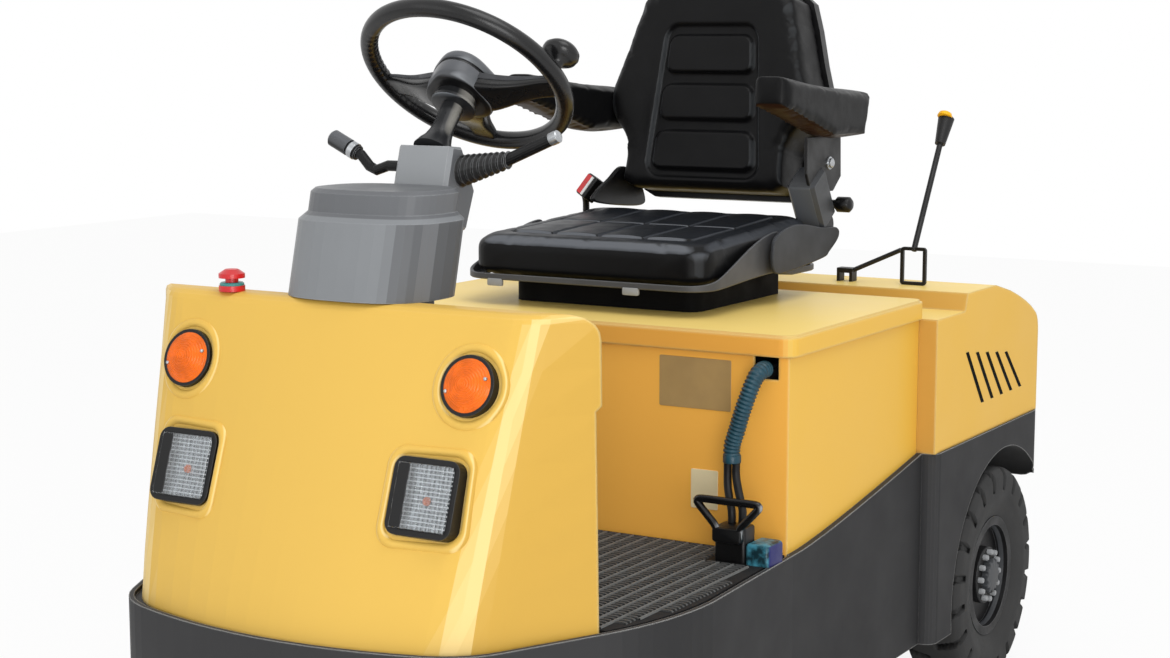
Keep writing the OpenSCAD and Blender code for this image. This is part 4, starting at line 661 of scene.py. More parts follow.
def rubber_finishes(c):
    """Rubber of the mat, the tyres, the seat's foot, the bellows and the cables, with painted light and
    shade.
    """
    f = Finish("mat_rubber", linear(30, 30, 31), 0.78, Specular_IOR_Level=0.2)
    f.mottled(9.0, 0.8, 1.2).rough(30.0, 0.68, 0.86).bump(f.noise(700.0), 0.3, 0.0005)

    # painted light: the raised bars are the mat's rubber in a lighter tone
    f = Finish("mat_bar", linear(76, 77, 77), 0.62, Specular_IOR_Level=0.3)
    f.mottled(60.0, 0.75, 1.15).rough(40.0, 0.55, 0.72).bump(f.noise(900.0), 0.2, 0.0004)

    # painted light: the lines between the columns are the mat's rubber in a lighter tone
    f = Finish("mat_line", linear(108, 109, 108), 0.6, Specular_IOR_Level=0.3)
    f.mottled(40.0, 0.88, 1.1).rough(40.0, 0.52, 0.7).bump(f.noise(900.0), 0.2, 0.0004)

    f = Finish("tyre", c.rubber, 0.75, Specular_IOR_Level=0.15)
    f.mottled(11.0, 0.9, 1.1).hollows(0.03, linear(10, 10, 10)).rough(22.0, 0.6, 0.8)
    f.bump(f.noise(480.0, 4.0), 0.3, 0.0006)

    # painted shade in part: the seat's base is near black for the shade under the seat
    f = Finish("base_rubber", linear(9, 9, 10), 0.7, Specular_IOR_Level=0.1)
    f.mottled(20.0, 0.85, 1.15).rough(20.0, 0.6, 0.8).bump(f.noise(600.0), 0.1, 0.0004)

    f = Finish("bellows_rubber", linear(14, 14, 15), 0.36, Specular_IOR_Level=0.25)
    # painted highlights on the bellows' ribs: the paler edge tone
    f.mottled(10.0, 0.9, 1.1).rough(18.0, 0.3, 0.44).edges(0.003, linear(168, 170, 172), 0.75, 0.03, 0.3)
    f.bump(f.noise(800.0), 0.1, 0.0004)

    f = Finish("cable_rubber", linear(18, 18, 19), 0.48, Specular_IOR_Level=0.3)
    f.mottled(40.0, 0.8, 1.3).rough(60.0, 0.4, 0.58).bump(f.noise(1200.0), 0.15, 0.0003)


def vinyl_finishes(c):
    """Grained black vinyl, with painted sheen on the faces given for each pad and painted shade under the
    arms.
    """
    painted_sheen_and_shade = {
        # painted highlights on the backrest's two front corners
        "vinyl": [((0.72, -0.69, 0.0), 0.90, 0.99, linear(54, 56, 58)),
                  ((-0.72, -0.69, 0.0), 0.90, 0.99, linear(54, 56, 58))],
        # painted sheen on the cushion's top, painted highlights on its front and side top edges and front
        # corner
        "cushion_vinyl": [(ABOVE, 0.86, 0.98, linear(24, 27, 32)),
                          ((0.0, -0.64, 0.77), 0.93, 0.995, linear(96, 99, 104)),
                          ((0.66, -0.66, 0.35), 0.90, 0.99, linear(74, 77, 82)),
                          ((0.64, 0.0, 0.77), 0.93, 0.995, linear(60, 63, 68))],
        # painted shade, warm brown, on the armrests' undersides
        "arm_vinyl": [((0.0, -0.45, -0.89), 0.75, 0.95, linear(44, 25, 14))],
    }
    for name, tones in painted_sheen_and_shade.items():
        f = Finish(name, c.vinyl, 0.4, Specular_IOR_Level=0.13)
        f.mottled(12.0, 0.92, 1.08).rough(26.0, 0.35, 0.47)
        for tone in tones:
            f.faced(*tone)
        f.bump(f.cells(620.0), 0.12, 0.0005).bump(f.noise(90.0, 4.0), 0.10, 0.0014)


FINISH_GROUPS = (paint_finishes, plastic_finishes, metal_finishes, lens_finishes, rubber_finishes,
                 vinyl_finishes)

NODE_FINISH = {
    "yellow_paint": ["lid"],
    "box_paint_shaded": ["battery_box"],
    "body_paint_shaded": ["rear_body"],
    "cowl_paint": ["cowl"],
    "skirt_plastic": ["front_skirt", "rear_skirt", "floor_pan", "dash_panel"],
    "black_steel": ["chassis_frame", "pedals", "release_lever", "armrest_brackets", "front_axle",
                    "seat_base", "seat_pan"],
    "mat_rubber": ["floor_mat"],
    "black_plastic": ["headlamp_frames", "indicator_rings", "connector", "back_shell", "belt_buckle"],
    "bellows_rubber": ["control_levers"],
    "wheel_plastic": ["steering_wheel"],
    "grey_plastic": ["console"],
    "column_plastic": ["steering_column"],
    "cap_plastic": ["steering_cap"],
    "clear_lens": ["headlamp_lenses"],
    "amber_lens": ["indicator_lenses"],
    "red_lens": ["rear_lamps"],
    "red_plastic": ["stop_button"],
    "battery_case": ["battery"],
    "cast_iron": ["tow_hitch", "knuckle_left", "knuckle_right", "rear_axle"],
    "bright_steel": ["hitch_pin"],
    "conduit": ["lead_conduit"],
    "cable_rubber": ["lead_cables"],
    "vinyl": ["seat_cushion", "back_cushion", "armrests"],
    "wheel_steel": ["front_left_rim", "front_right_rim", "rear_left_rim", "rear_right_rim"],
    "tyre": ["front_left_tyre", "front_right_tyre", "rear_left_tyre", "rear_right_tyre"],
}


class TRACTOR_OT_camera(bpy.types.Operator):
    """Place the camera at the picture's viewing angle"""
    bl_idname = "tractor.camera"
    bl_label = "Camera"

    def execute(self, context):
        view = context.scene.tractor_view
        data = bpy.data.cameras.new("view_camera")
        data.sensor_width = 36.0
        data.lens = view.lens
        data.clip_end = 60.0
        camera = bpy.data.objects.new("view_camera", data)
        camera.location = view.place
        camera.rotation_euler = (np.pi / 2 - view.dip, 0.0, view.azimuth)
        context.scene.collection.objects.link(camera)
        context.scene.camera = camera
        return {"FINISHED"}


class TRACTOR_OT_finishes(bpy.types.Operator):
    """Make a procedural finish for each slot and each piece made here, and dress the solids"""
    bl_idname = "tractor.finishes"
    bl_label = "Finishes"

    def execute(self, context):
        for make_group in FINISH_GROUPS:
            make_group(context.scene.tractor_colours)
        for finish, nodes in NODE_FINISH.items():
            for name in nodes:
                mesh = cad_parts[name].data
                mesh.materials.clear()
                mesh.materials.append(made[finish])
        return {"FINISHED"}


# Battery lead

CONDUIT = np.array([(414, -222, 790), (414, -238, 789), (412, -252, 782), (408, -262, 766), (402, -268, 744),
                    (394, -271, 718), (386, -272, 690), (377, -272, 660), (377, -272, 632)]) / 1000.0
CABLES = {
    "lead_cable_inner": np.array([(369, -272, 631.7), (369, -272, 611.7), (372, -277, 591.7),
                                  (379, -284, 571.7), (386, -290, 555.7), (388, -292, 543.7),
                                  (388, -292, 532)]) / 1000.0,
    "lead_cable_outer": np.array([(385, -272, 631.7), (385, -272, 611.7), (391, -277, 591.7),
                                  (400, -284, 571.7), (407, -290, 555.7), (408, -292, 543.7),
                                  (408, -292, 532)]) / 1000.0,
}
CONDUIT_R, RIB_RISE = 0.0126, 0.0024
CABLE_R = 0.007
FITTING = [(0.0122, 0.0), (0.0148, 0.0), (0.0157, 0.001), (0.0157, 0.012), (0.0148, 0.0135),
           (0.0122, 0.0135)]
CONNECTOR_TOP = np.array([0.398, -0.300, 0.532])
CONNECTOR_W, CONNECTOR_D, CONNECTOR_H = 0.058, 0.042, 0.062
YOKE_W, YOKE_H, YOKE_T = 0.054, 0.026, 0.014
GRIP = np.array([(20, -20), (23, 0), (37, 16), (53, 33), (58, 40), (51, 45), (0, 45)]) / 1000.0
GRIP_R = 0.0068


class TRACTOR_OT_lead(bpy.types.Operator):
    """Make the battery lead: a corrugated conduit, the two cables that leave it and their connector"""
    bl_idname = "tractor.lead"
    bl_label = "Battery lead"

    def execute(self, context):
        size = context.scene.tractor_sizes
        path, length = smooth_path(CONDUIT, 190)
        s = np.linspace(0, length, 190)
        ribs = 0.5 + 0.5 * np.cos(2 * np.pi * s / size.rib_pitch)
        sleeve = chassis_piece("lead_sleeve", tube(path, CONDUIT_R + RIB_RISE * ribs ** 0.6, 28), "conduit",
                               "conduit", stands_for="lead_conduit")
        fitting = chassis_piece("lead_end_fitting", turned(FITTING, path[-1], ABOVE, LEFT, 36), "conduit",
                                "conduit", angle=40)
        block = self.connector()
        for name, points in CABLES.items():
            path, length = smooth_path(points, 60)
            cable = chassis_piece(name, tube(path, CABLE_R, 20), "cable_rubber", "cable_rubber",
                                  stands_for="lead_cables")
        return {"FINISHED"}

    def connector(self):
        """The connector's block, the yoke on its front and the bent bar of its pull handle."""
        foot = CONNECTOR_TOP - (0, 0, CONNECTOR_H)
        body = slab(CONNECTOR_W, CONNECTOR_D, CONNECTOR_H, 0.006, 0.004, foot, LEFT, REAR)
        block = chassis_piece("connector_block", body, "black_plastic", "black_plastic", angle=30,
                              stands_for="connector")
        front = CONNECTOR_TOP - (0, CONNECTOR_D / 2, YOKE_H / 2)
        chassis_piece("connector_yoke", slab(YOKE_W, YOKE_H, YOKE_T, 0.006, 0.003, front, LEFT, ABOVE),
                      "black_plastic", "black_plastic", angle=30, stands_for="connector")
        half = np.array([(x, 0.0, z) for x, z in GRIP])
        middle = CONNECTOR_TOP - (0, (CONNECTOR_D + YOKE_T) / 2, 0)
        bar = middle + np.concatenate([half * (-1, 1, 1), half[-2::-1]])
        chassis_piece("connector_grip", tube(smooth_path(bar, 90)[0], GRIP_R, 18, REAR), "grip_plastic",
                      "black_plastic", stands_for="connector")
        return block


# Seat

CLOTH_STEPS = 20
BACK_ORIGIN = np.array([0.0, 0.381, 1.0303])
BACK_LEAN = np.radians(9.0)
BACK_UP = np.array([0.0, np.sin(BACK_LEAN), np.cos(BACK_LEAN)])
BACK_OUT = np.array([0.0, -np.cos(BACK_LEAN), np.sin(BACK_LEAN)])
# Half widths of the backrest's solid and of its cover at heights along it
SOLID_HALF = np.array([(0.0, 0.146), (0.014, 0.171), (0.090, 0.171), (0.117, 0.195), (0.144, 0.227),
                       (0.171, 0.242), (0.193, 0.244), (0.220, 0.239), (0.279, 0.220), (0.351, 0.193),
                       (0.405, 0.163), (0.436, 0.129), (0.450, 0.088)])
COVER_HALF = np.array([(0.0, 0.160), (0.014, 0.188), (0.090, 0.190), (0.117, 0.202), (0.144, 0.221),
                       (0.171, 0.232), (0.193, 0.234), (0.220, 0.230), (0.260, 0.217), (0.330, 0.199),
                       (0.400, 0.180), (0.432, 0.146), (0.450, 0.098)])
BACK_PADS = ((0.286, 0.038), (0.188, 0.036), (0.090, 0.039))
ARM_OUTER = 0.307
SEAT_X = -0.016
SEAT_MIDDLE = np.array([SEAT_X, 0.1225])
CUSHION_W, CUSHION_L, CUSHION_FOOT = 0.520, 0.490, 0.906
FIELD_HALF_W, FIELD_HALF_L, FIELD_CORNER = 0.196, 0.180, 0.02
FIELD_Y = 0.125
SEAM_W = 0.004


def apply_modifier(obj, modifier):
    """The modifier's result becomes the object's mesh."""
    result = bpy.data.meshes.new_from_object(obj.evaluated_get(bpy.context.evaluated_depsgraph_get()))
    obj.modifiers.remove(modifier)
    obj.data = result


def blown_up(obj, start, cap):
    """Where a cover's points come to under cloth pressure, none further from its start than the cap."""
    cloth = obj.modifiers.new("cloth", "CLOTH")
    cloth.settings.use_pressure = True
    cloth.settings.uniform_pressure_force = 4.0
    cloth.settings.quality = 3
    cloth.settings.tension_stiffness = 12.0
    cloth.settings.compression_stiffness = 12.0
    cloth.settings.effector_weights.gravity = 0.0
    cloth.point_cache.frame_start, cloth.point_cache.frame_end = 1, CLOTH_STEPS
    for step in range(1, CLOTH_STEPS + 1):
        bpy.context.scene.frame_set(step)
    move = mesh_points(obj.evaluated_get(bpy.context.evaluated_depsgraph_get()).data) - start
    obj.modifiers.remove(cloth)
    bpy.context.scene.frame_set(1)
    far = np.linalg.norm(move, axis=1, keepdims=True)
    return start + move * np.minimum(1.0, cap / np.maximum(far, 1e-9))


def swollen(name, form, finish, shrink, cap, part=None):
    """A padded cover: a solid's mesh, or points and faces, is drawn in, remeshed, blown up by cloth
    pressure, held to the cap and smoothed by one subdivision. part keeps one side of the vehicle."""
    if isinstance(form, str):
        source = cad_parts[form].data.copy()
    else:
        source = bpy.data.meshes.new(name)
        source.from_pydata(form[0].tolist(), [], form[1])
    bm = bmesh.new()
    bm.from_mesh(source)
    bmesh.ops.remove_doubles(bm, verts=bm.verts, dist=0.0002)
    if part is not None:
        bmesh.ops.delete(bm, geom=[v for v in bm.verts if v.co.x * part < 0], context="VERTS")
    bmesh.ops.recalc_face_normals(bm, faces=bm.faces)
    bm.to_mesh(source)
    bm.free()
    obj = bpy.data.objects.new(name, source)
    bpy.context.scene.collection.objects.link(obj)
    bpy.context.view_layer.objects.active = obj
    remesh = obj.modifiers.new("remesh", "REMESH")
    remesh.mode = "VOXEL"
    remesh.voxel_size = bpy.context.scene.tractor_sizes.voxel
    apply_modifier(obj, remesh)
    start = mesh_points(obj.data) - mesh_points(obj.data, "normal") * shrink
    set_points(obj.data, start)
    set_points(obj.data, blown_up(obj, start, cap))
    smooth = obj.modifiers.new("smooth", "SUBSURF")
    smooth.levels = smooth.render_levels = 1
    apply_modifier(obj, smooth)
    obj.data.materials.clear()
    obj.data.materials.append(made[finish])
    obj.data.polygons.foreach_set("use_smooth", np.full(len(obj.data.polygons), True))
    obj.name = name
    return obj


def seat_piece(obj, fill, *nodes):
    """A padded cover rides on the lid and stands for its solid."""
    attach(obj, "battery_lid")
    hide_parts(*nodes)


def cushion_top(y):
    """Height of the cushion's top, which rises towards the backrest."""
    return 0.978 + 0.052 * (y + 0.115)


def cushion_block():
    """The cushion before it is padded: a round-cornered outline drawn in towards a quarter-round top edge
    that follows the slope of the top."""
    turn = np.linspace(0, np.pi / 2, 6)
    levels = [(0.010, 0.0), (0.0, 0.14)] + [(0.026 * (1 - np.cos(a)), 0.70 + 0.30 * np.sin(a)) for a in turn]
    rows = []
    for inset, share in levels:
        o = rounded_outline(CUSHION_W - 2 * inset, CUSHION_L - 2 * inset, 0.050 - inset * 0.5,
                            8) + SEAT_MIDDLE
        rows.append(np.c_[o, CUSHION_FOOT + share * (cushion_top(o[:, 1]) - CUSHION_FOOT)])
    return grid(np.array(rows), round_v=True, caps=True)


def back_share(w):
    """How much wider or narrower the backrest is than its solid at a height along it."""
    return np.interp(w, *COVER_HALF.T) / np.interp(w, *SOLID_HALF.T)


class TRACTOR_OT_seat(bpy.types.Operator):
    """Make the padded seat: cushion with sewn panels, backrest with three pads, two armrests"""
    bl_idname = "tractor.seat"
    bl_label = "Padded seat"

    def execute(self, context):
        size = context.scene.tractor_sizes
        self.cushion(size)
        self.backrest(size)
        for name, side in SIDES:
            self.armrest(name, side)
        return {"FINISHED"}

    def cushion(self, size):
        """Eight panels that crown between sewn lines, within a sewn frame."""
        cover = swollen("seat_cover", cushion_block(), "cushion_vinyl", 0.004, size.swell)
        co = mesh_points(cover.data)
        u, v = co[:, 0] - SEAT_X, co[:, 1] - FIELD_Y
        top = step_up(co[:, 2] - cushion_top(co[:, 1]), -0.014, -0.004)
        pitch = FIELD_HALF_W / 2
        field = inside(u, v, FIELD_HALF_W, FIELD_HALF_L, FIELD_CORNER, SEAM_W)
        lines = [line(u, x, SEAM_W) for x in (-pitch, 0.0, pitch)] + [line(v, 0.0, SEAM_W)]
        seam = np.maximum.reduce(lines) * field
        edge = line(inside(u, v, FIELD_HALF_W, FIELD_HALF_L, FIELD_CORNER, 0.006), 0.5, 0.33)
        crown = np.abs(np.sin(np.pi * (u / pitch))) ** 0.5
        crown *= np.abs(np.cos(np.pi * (v / (2 * FIELD_HALF_L) + 0.5))) ** 0.5
        co[:, 2] += top * (0.004 * crown * field - size.seam_depth * np.maximum(seam, edge))
        co[:, 2] = np.maximum(co[:, 2], CUSHION_FOOT - 0.001)
        set_points(cover.data, co)
        seat_piece(cover, 0.75, "seat_cushion")

    def backrest(self, size):
        """Three pads in a sunk panel that narrows upwards, with raised wings beside it, and the shell
        behind."""
        cover = swollen("back_cover", "back_cushion", "vinyl", 0.004, size.swell)
        co = mesh_points(cover.data)
        rel = co - BACK_ORIGIN
        w, d = rel @ BACK_UP, rel @ BACK_OUT
        x = co[:, 0] * back_share(w)
        co[:, 0] = x + SEAT_X
        half = 0.130 - 0.026 * (w - 0.035) / 0.3
        panel = inside(x * 0.13 / half, w - 0.190, 0.13, 0.157, 0.035, 0.005)
        pads = np.maximum.reduce([inside(x * 0.1 / (half - 0.013), w - at, 0.1, tall, 0.020, 0.005)
                                  for at, tall in BACK_PADS])
        rim = line(panel, 0.5, 0.3)
        move = -0.011 * panel + 0.013 * pads - 0.002 * line(pads, 0.4, 0.3) + 0.003 * rim
        move += 0.010 * step_up(np.abs(x), 0.13, 0.20) * step_up(0.33 - w, -0.05, 0.1)
        forward = step_up(d, -0.066, -0.030) * 0.034 + step_up(d, -0.030, -0.006) * move
        set_points(cover.data, co + forward[:, None] * BACK_OUT)
        seat_piece(cover, 0.7, "back_cushion")
        co, faces = solid("back_shell")
        co[:, 0] = co[:, 0] * back_share((co - BACK_ORIGIN) @ BACK_UP) * 0.985 + SEAT_X
        lid_piece("back_shell_cover", (co, faces), "black_plastic", "black_plastic", angle=35,
                  stands_for="back_shell")

    def armrest(self, name, side):
        """A pad a little wider, longer and deeper than its solid, from its outer, front and upper sides."""
        cover = swollen("armrest_cover_" + name, "armrests", "arm_vinyl", 0.0025, 0.004, side)
        co = mesh_points(cover.data)
        lo, hi = co.min(0), co.max(0)
        co[:, 0] = side * (ARM_OUTER - 1.18 * (ARM_OUTER - side * co[:, 0]))
        co[:, 1] = lo[1] + 1.04 * (co[:, 1] - lo[1])
        co[:, 2] = hi[2] - 1.03 * (hi[2] - co[:, 2])
        set_points(cover.data, co)
        seat_piece(cover, 0.85, "armrests")


# Seat fittings, with outlines along and up

SHIELD = np.array([(114, 916), (109, 967), (134, 987), (183, 997), (240, 996), (323, 984), (396, 978),
                   (403, 958), (361, 933), (331, 923), (186, 912)]) / 1000.0
WING = np.array([(367, 1086), (310, 1062), (262, 1040), (250, 1022), (330, 1008), (440, 1000), (462, 1014),
                 (430, 1060)]) / 1000.0
RECLINER_PLATE = np.array([(276, 1160), (432, 1160), (436, 1077), (400, 1050), (300, 1050),
                           (276, 1090)]) / 1000.0
RECLINER_LEAN = np.radians(32.0)
RECLINER_X = 0.206
GEAR_MIDDLE, GEAR_W, GEAR_H = np.array([0.345, 1.036]), 0.070, 0.112
FOOT_MIDDLE, FOOT_R = np.array([0.372, 0.984]), 0.024
KNOB = [(0.0001, 0.046), (0.010, 0.045), (0.0155, 0.040), (0.0155, 0.016), (0.009, 0.010), (0.009, -0.02)]
BOLT = [(0.0001, 0.010), (0.006, 0.0095), (0.0095, 0.007), (0.0095, 0.003), (0.013, 0.0025), (0.013, 0)]
KNOB_PLACE, BOLT_PLACE = (0.244, 0.418, 1.022), (0.2565, 0.379, 1.106)
TAB_PLACES = ((0.094, -0.1225, 0.8935), (-0.200, -0.1225, 0.8935))
BASE_W, BASE_L, BASE_H, BASE_PLACE = 0.40, 0.37, 0.055, (SEAT_X, 0.145, 0.850)
LIP_W, LIP_L = 0.532, 0.500
BUCKLE_MIDDLE = np.array([-0.268, 0.343, 1.040])
BUCKLE_W, BUCKLE_L, BUCKLE_T = 0.032, 0.050, 0.030
BUCKLE_STALK = [(-0.280, 0.345, 1.000), (-0.283, 0.345, 0.915)]


def seat_lip():
    """The pan's grey lip: a strip round the cushion's foot, low in front and rising along the sides, where
    the recliner plates take over, with a flange that turns in under the cushion."""
    o = evenly(rounded_outline(LIP_W, LIP_L, 0.056, 10), 200) + SEAT_MIDDLE
    rise = step_up(o[:, 1], -0.125, 0.165) ** 0.8 * (1 - step_up(o[:, 1], 0.16, 0.24))
    low, high = 0.899 + 0.012 * rise, 0.910 + 0.078 * rise
    rows = []
    for inset, z in ((0.020, low - 0.001), (0.002, low - 0.001), (0.0, low + 0.001), (0.0, high - 0.001),
                     (0.0012, high), (0.0045, high - 0.001), (0.0045, low + 0.004), (0.020, low + 0.004)):
        rows.append(np.c_[SEAT_MIDDLE + (o - SEAT_MIDDLE) * (1 - inset / 0.255), z])
    return grid(np.array(rows), round_u=True, round_v=True)


class TRACTOR_OT_fittings(bpy.types.Operator):
    """Make the seat's pan lip, tabs, shields, recliners and the belt buckle"""
    bl_idname = "tractor.fittings"
    bl_label = "Seat fittings"

    def execute(self, context):
        lid_piece("seat_pan_lip", seat_lip(), "pan_plastic", "black_plastic", angle=40,
                  stands_for="seat_pan")
        for k, place in enumerate(TAB_PLACES):
            tab = slab(0.033, 0.014, 0.006, 0.003, 0.001, place, LEFT, ABOVE)
            lid_piece("seat_tab_%d" % k, tab, "grey_tab", "black_plastic", angle=40)
        # the seat's base as a near-black block over the rails; its dark is partly painted shade under the
        # seat
        base = slab(BASE_W, BASE_L, BASE_H, 0.03, 0.004, BASE_PLACE, LEFT, REAR)
        lid_piece("seat_base_cover", base, "base_rubber", "black_steel", angle=40, stands_for="seat_base")
        shield = upright_plate(closed_curve(SHIELD, 66), 0.262, 0.269, 0.0015)
        lid_piece("seat_shield", shield, "shield_steel", "black_steel", angle=40,
                  stands_for="armrest_brackets")
        wing = upright_plate(closed_curve(WING, 60), -0.213, -0.203, 0.002)
        lid_piece("seat_wing", wing, "black_plastic", "black_plastic", angle=40)
        self.recliner()
        self.buckle()
        return {"FINISHED"}

    def recliner(self):
        """The recliner's leaning gear case and round foot, the plate above them, its knob and its bolt."""
        up = np.array([-np.sin(RECLINER_LEAN), np.cos(RECLINER_LEAN)])
        along = np.array([up[1], -up[0]])
        o = rounded_outline(GEAR_W, GEAR_H, 0.010)
        gear = upright_plate(GEAR_MIDDLE + o[:, :1] * along + o[:, 1:] * up, RECLINER_X, 0.264, 0.007)
        lid_piece("recliner_gear", gear, "gear_steel", "black_steel", angle=30)
        foot = upright_plate(FOOT_MIDDLE + FOOT_R * circle(24), RECLINER_X, 0.262, 0.003)
        lid_piece("recliner_foot", foot, "black_steel", "black_steel", angle=40)
        plate = upright_plate(RECLINER_PLATE, 0.250, 0.257, 0.001)
        lid_piece("recliner_plate", plate, "black_steel", "black_steel", smooth=False)
        lid_piece("recliner_knob", turned(KNOB, KNOB_PLACE, LEFT, REAR, 24), "black_plastic",
                  "black_plastic")
        lid_piece("recliner_bolt", turned(BOLT, BOLT_PLACE, LEFT, REAR, 18), "bright_steel", "bright_steel",
                  angle=30)

    def buckle(self):
        """A black block on a stalk, leaning, with a red and a white strip on its upper face."""
        long, face = np.array([0.50, 0.30, 0.81]), np.array([-0.173, -0.837, 0.519])
        long /= np.linalg.norm(long)
        face -= long * (face @ long)
        face /= np.linalg.norm(face)
        wide = np.cross(long, face)
        block = slab(BUCKLE_W, BUCKLE_L, BUCKLE_T, 0.004, 0.003, BUCKLE_MIDDLE - BUCKLE_T / 2 * face, wide,
                     long)
        lid_piece("buckle_block", block, "black_plastic", "black_plastic", angle=40,
                  stands_for="belt_buckle")
        for name, finish, at, w in (("buckle_button", "red_plastic", -0.0065, 0.014),
                                    ("buckle_strip", "white_plastic", 0.0045, 0.007)):
            strip = slab(w, 0.044, 0.0025, 0.001, 0.0005, BUCKLE_MIDDLE + 0.0145 * face + at * wide, wide,
                         long)
            lid_piece(name, strip, finish, "red_plastic", smooth=False)
        path, _ = smooth_path([BUCKLE_MIDDLE - 0.02 * long, *BUCKLE_STALK], 16)
        lid_piece("buckle_stalk", tube(path, 0.007, 12), "black_plastic", "black_plastic")


# Steering

STEERING_CENTRE = np.array([0.0, -0.504, 1.297])
WHEEL_X = np.array([1.0, 0.0, 0.0])
WHEEL_Y = np.array([0.0, 0.766, -0.643])
WHEEL_N = np.array([0.0, 0.643, 0.766])
WHEEL_CENTRE = STEERING_CENTRE - 0.013 * WHEEL_N
RIM_R, RIM_T = 0.173, 0.0152
GRIP_MIDDLE, GRIP_END, GRIP_START = np.radians([188.0, 40.0, 34.0])
GRIP_PITCH, GRIP_DEPTH = 0.0138, 0.0030
ARM_ANGLES = np.radians([8.0, 105.0, 172.0])
SPINNER_ANGLE = np.radians(-4.0)
HUB_R = 0.058
# Shares of the hub's radius and heights along the shaft
HUB = [(0.78, -0.0465), (0.93, -0.0455), (0.99, -0.041), (1.0, -0.034), (1.0, -0.0165), (0.985, -0.0145)]
HUB_SEAM = [(0.95, -0.015), (0.95, -0.0085)]
HUB_DOME = [(0.975, -0.0092), (1.0, -0.007), (1.0, -0.002)]
HUB_DOME += [(0.55 + 0.45 * np.cos(t), -0.002 + 0.017 * np.sin(t))
             for t in np.linspace(0.0, np.pi / 2, 10)[1:]]
HUB_DOME += [(0.02, 0.0165)]
# Radii and heights along the shaft
BOSS = [(0.012, -0.066), (0.036, -0.0655), (0.0385, -0.064), (0.0385, -0.059), (0.0345, -0.057),
        (0.0345, -0.045), (0.012, -0.045)]
SPINNER = [(0.0001, 0.055), (0.014, 0.0545), (0.025, 0.051), (0.0305, 0.045), (0.0315, 0.039),
           (0.029, 0.032), (0.022, 0.026), (0.013, 0.021), (0.0105, 0.015), (0.0105, 0.004)]
NECK = [(0.034, -0.168), (0.030, -0.158), (0.024, -0.148), (0.020, -0.134), (0.0185, -0.120),
        (0.0185, -0.078)]
COLUMN = np.array([(-635, 1178), (-602, 1175), (-567, 1103), (-593, 1040), (-660, 1040),
                   (-655, 1110)]) / 1000.0
COLUMN_HALF = 0.053
STALK_END, STALK_WAY = np.array([-0.157, -0.605, 1.160]), np.array([-0.902, 0.0, 0.431])
STALK_R = 0.0145
LEVER_END, LEVER_WAY = (0.234, -0.605, 1.197), (0.921, 0.0, 0.389)
LEVER_TIP = [(0.0001, 0.0035), (0.0075, 0.003), (0.0104, 0.0005), (0.0108, -0.006), (0.0104, -0.014)]


def on_wheel(x, y, z):
    """Points given on the steering wheel's own axes: across, along and up its shaft."""
    x, y, z = np.broadcast_arrays(x, y, z)
    return WHEEL_CENTRE + x[..., None] * WHEEL_X + y[..., None] * WHEEL_Y + z[..., None] * WHEEL_N


def wheel_rim():
    """A ring of round section, radius RIM_R + r cos v, whose r dips by a raised cosine between the finger
    grips."""
    a, v = np.meshgrid(angles(240), angles(28), indexing="ij")
    grips = step_up(np.cos(a - GRIP_MIDDLE), np.cos(GRIP_END), np.cos(GRIP_START))
    dips = 0.5 + 0.5 * np.cos(a * RIM_R / GRIP_PITCH * 2 * np.pi)
    r = RIM_T - GRIP_DEPTH * grips * dips * (0.5 - 0.5 * np.cos(v + 0.7))
    out = RIM_R + r * np.cos(v)
    return grid(on_wheel(out * np.cos(a), out * np.sin(a), r * np.sin(v)), round_u=True, round_v=True)


def wheel_arm(angle, low, high, wide):
    """An arm of the wheel: a soft rectangle carried outwards, narrowing and rising to the rim; low and high
    say which share of its thickness it takes."""
    u = np.linspace(0.0, 1.0, 16)[:, None]
    o = rounded_outline(1.0, 1.0, 0.16, 3)
    lift = step_up(u, 0.05, 1.0)
    bottom, top = -0.044 + 0.035 * lift, -0.013 + 0.019 * lift
    out = 0.034 + 0.133 * u + 0 * o[:, 0]
    side = o[:, 0] * wide * (0.070 - 0.030 * step_up(u, 0.0, 0.7))
    z = bottom + (top - bottom) * (low + (high - low) * (o[:, 1] + 0.5))
    return grid(on_wheel(out * np.cos(angle) - side * np.sin(angle),
                         out * np.sin(angle) + side * np.cos(angle), z),
                round_v=True, caps=True)


def hub_ring(levels):
    """Rounded three-lobed rings stacked along the shaft: HUB_R (1 + 0.10 cos 3(a - 48 degrees)) times a
    share, at each height."""
    a = angles(72)
    r = HUB_R * (1 + 0.10 * np.cos(3 * (a - np.radians(48.0))))
    p = np.asarray(levels, float)
    return grid(on_wheel(p[:, :1] * r * np.cos(a), p[:, :1] * r * np.sin(a), p[:, 1:] + 0 * a), round_v=True,
                caps=True)


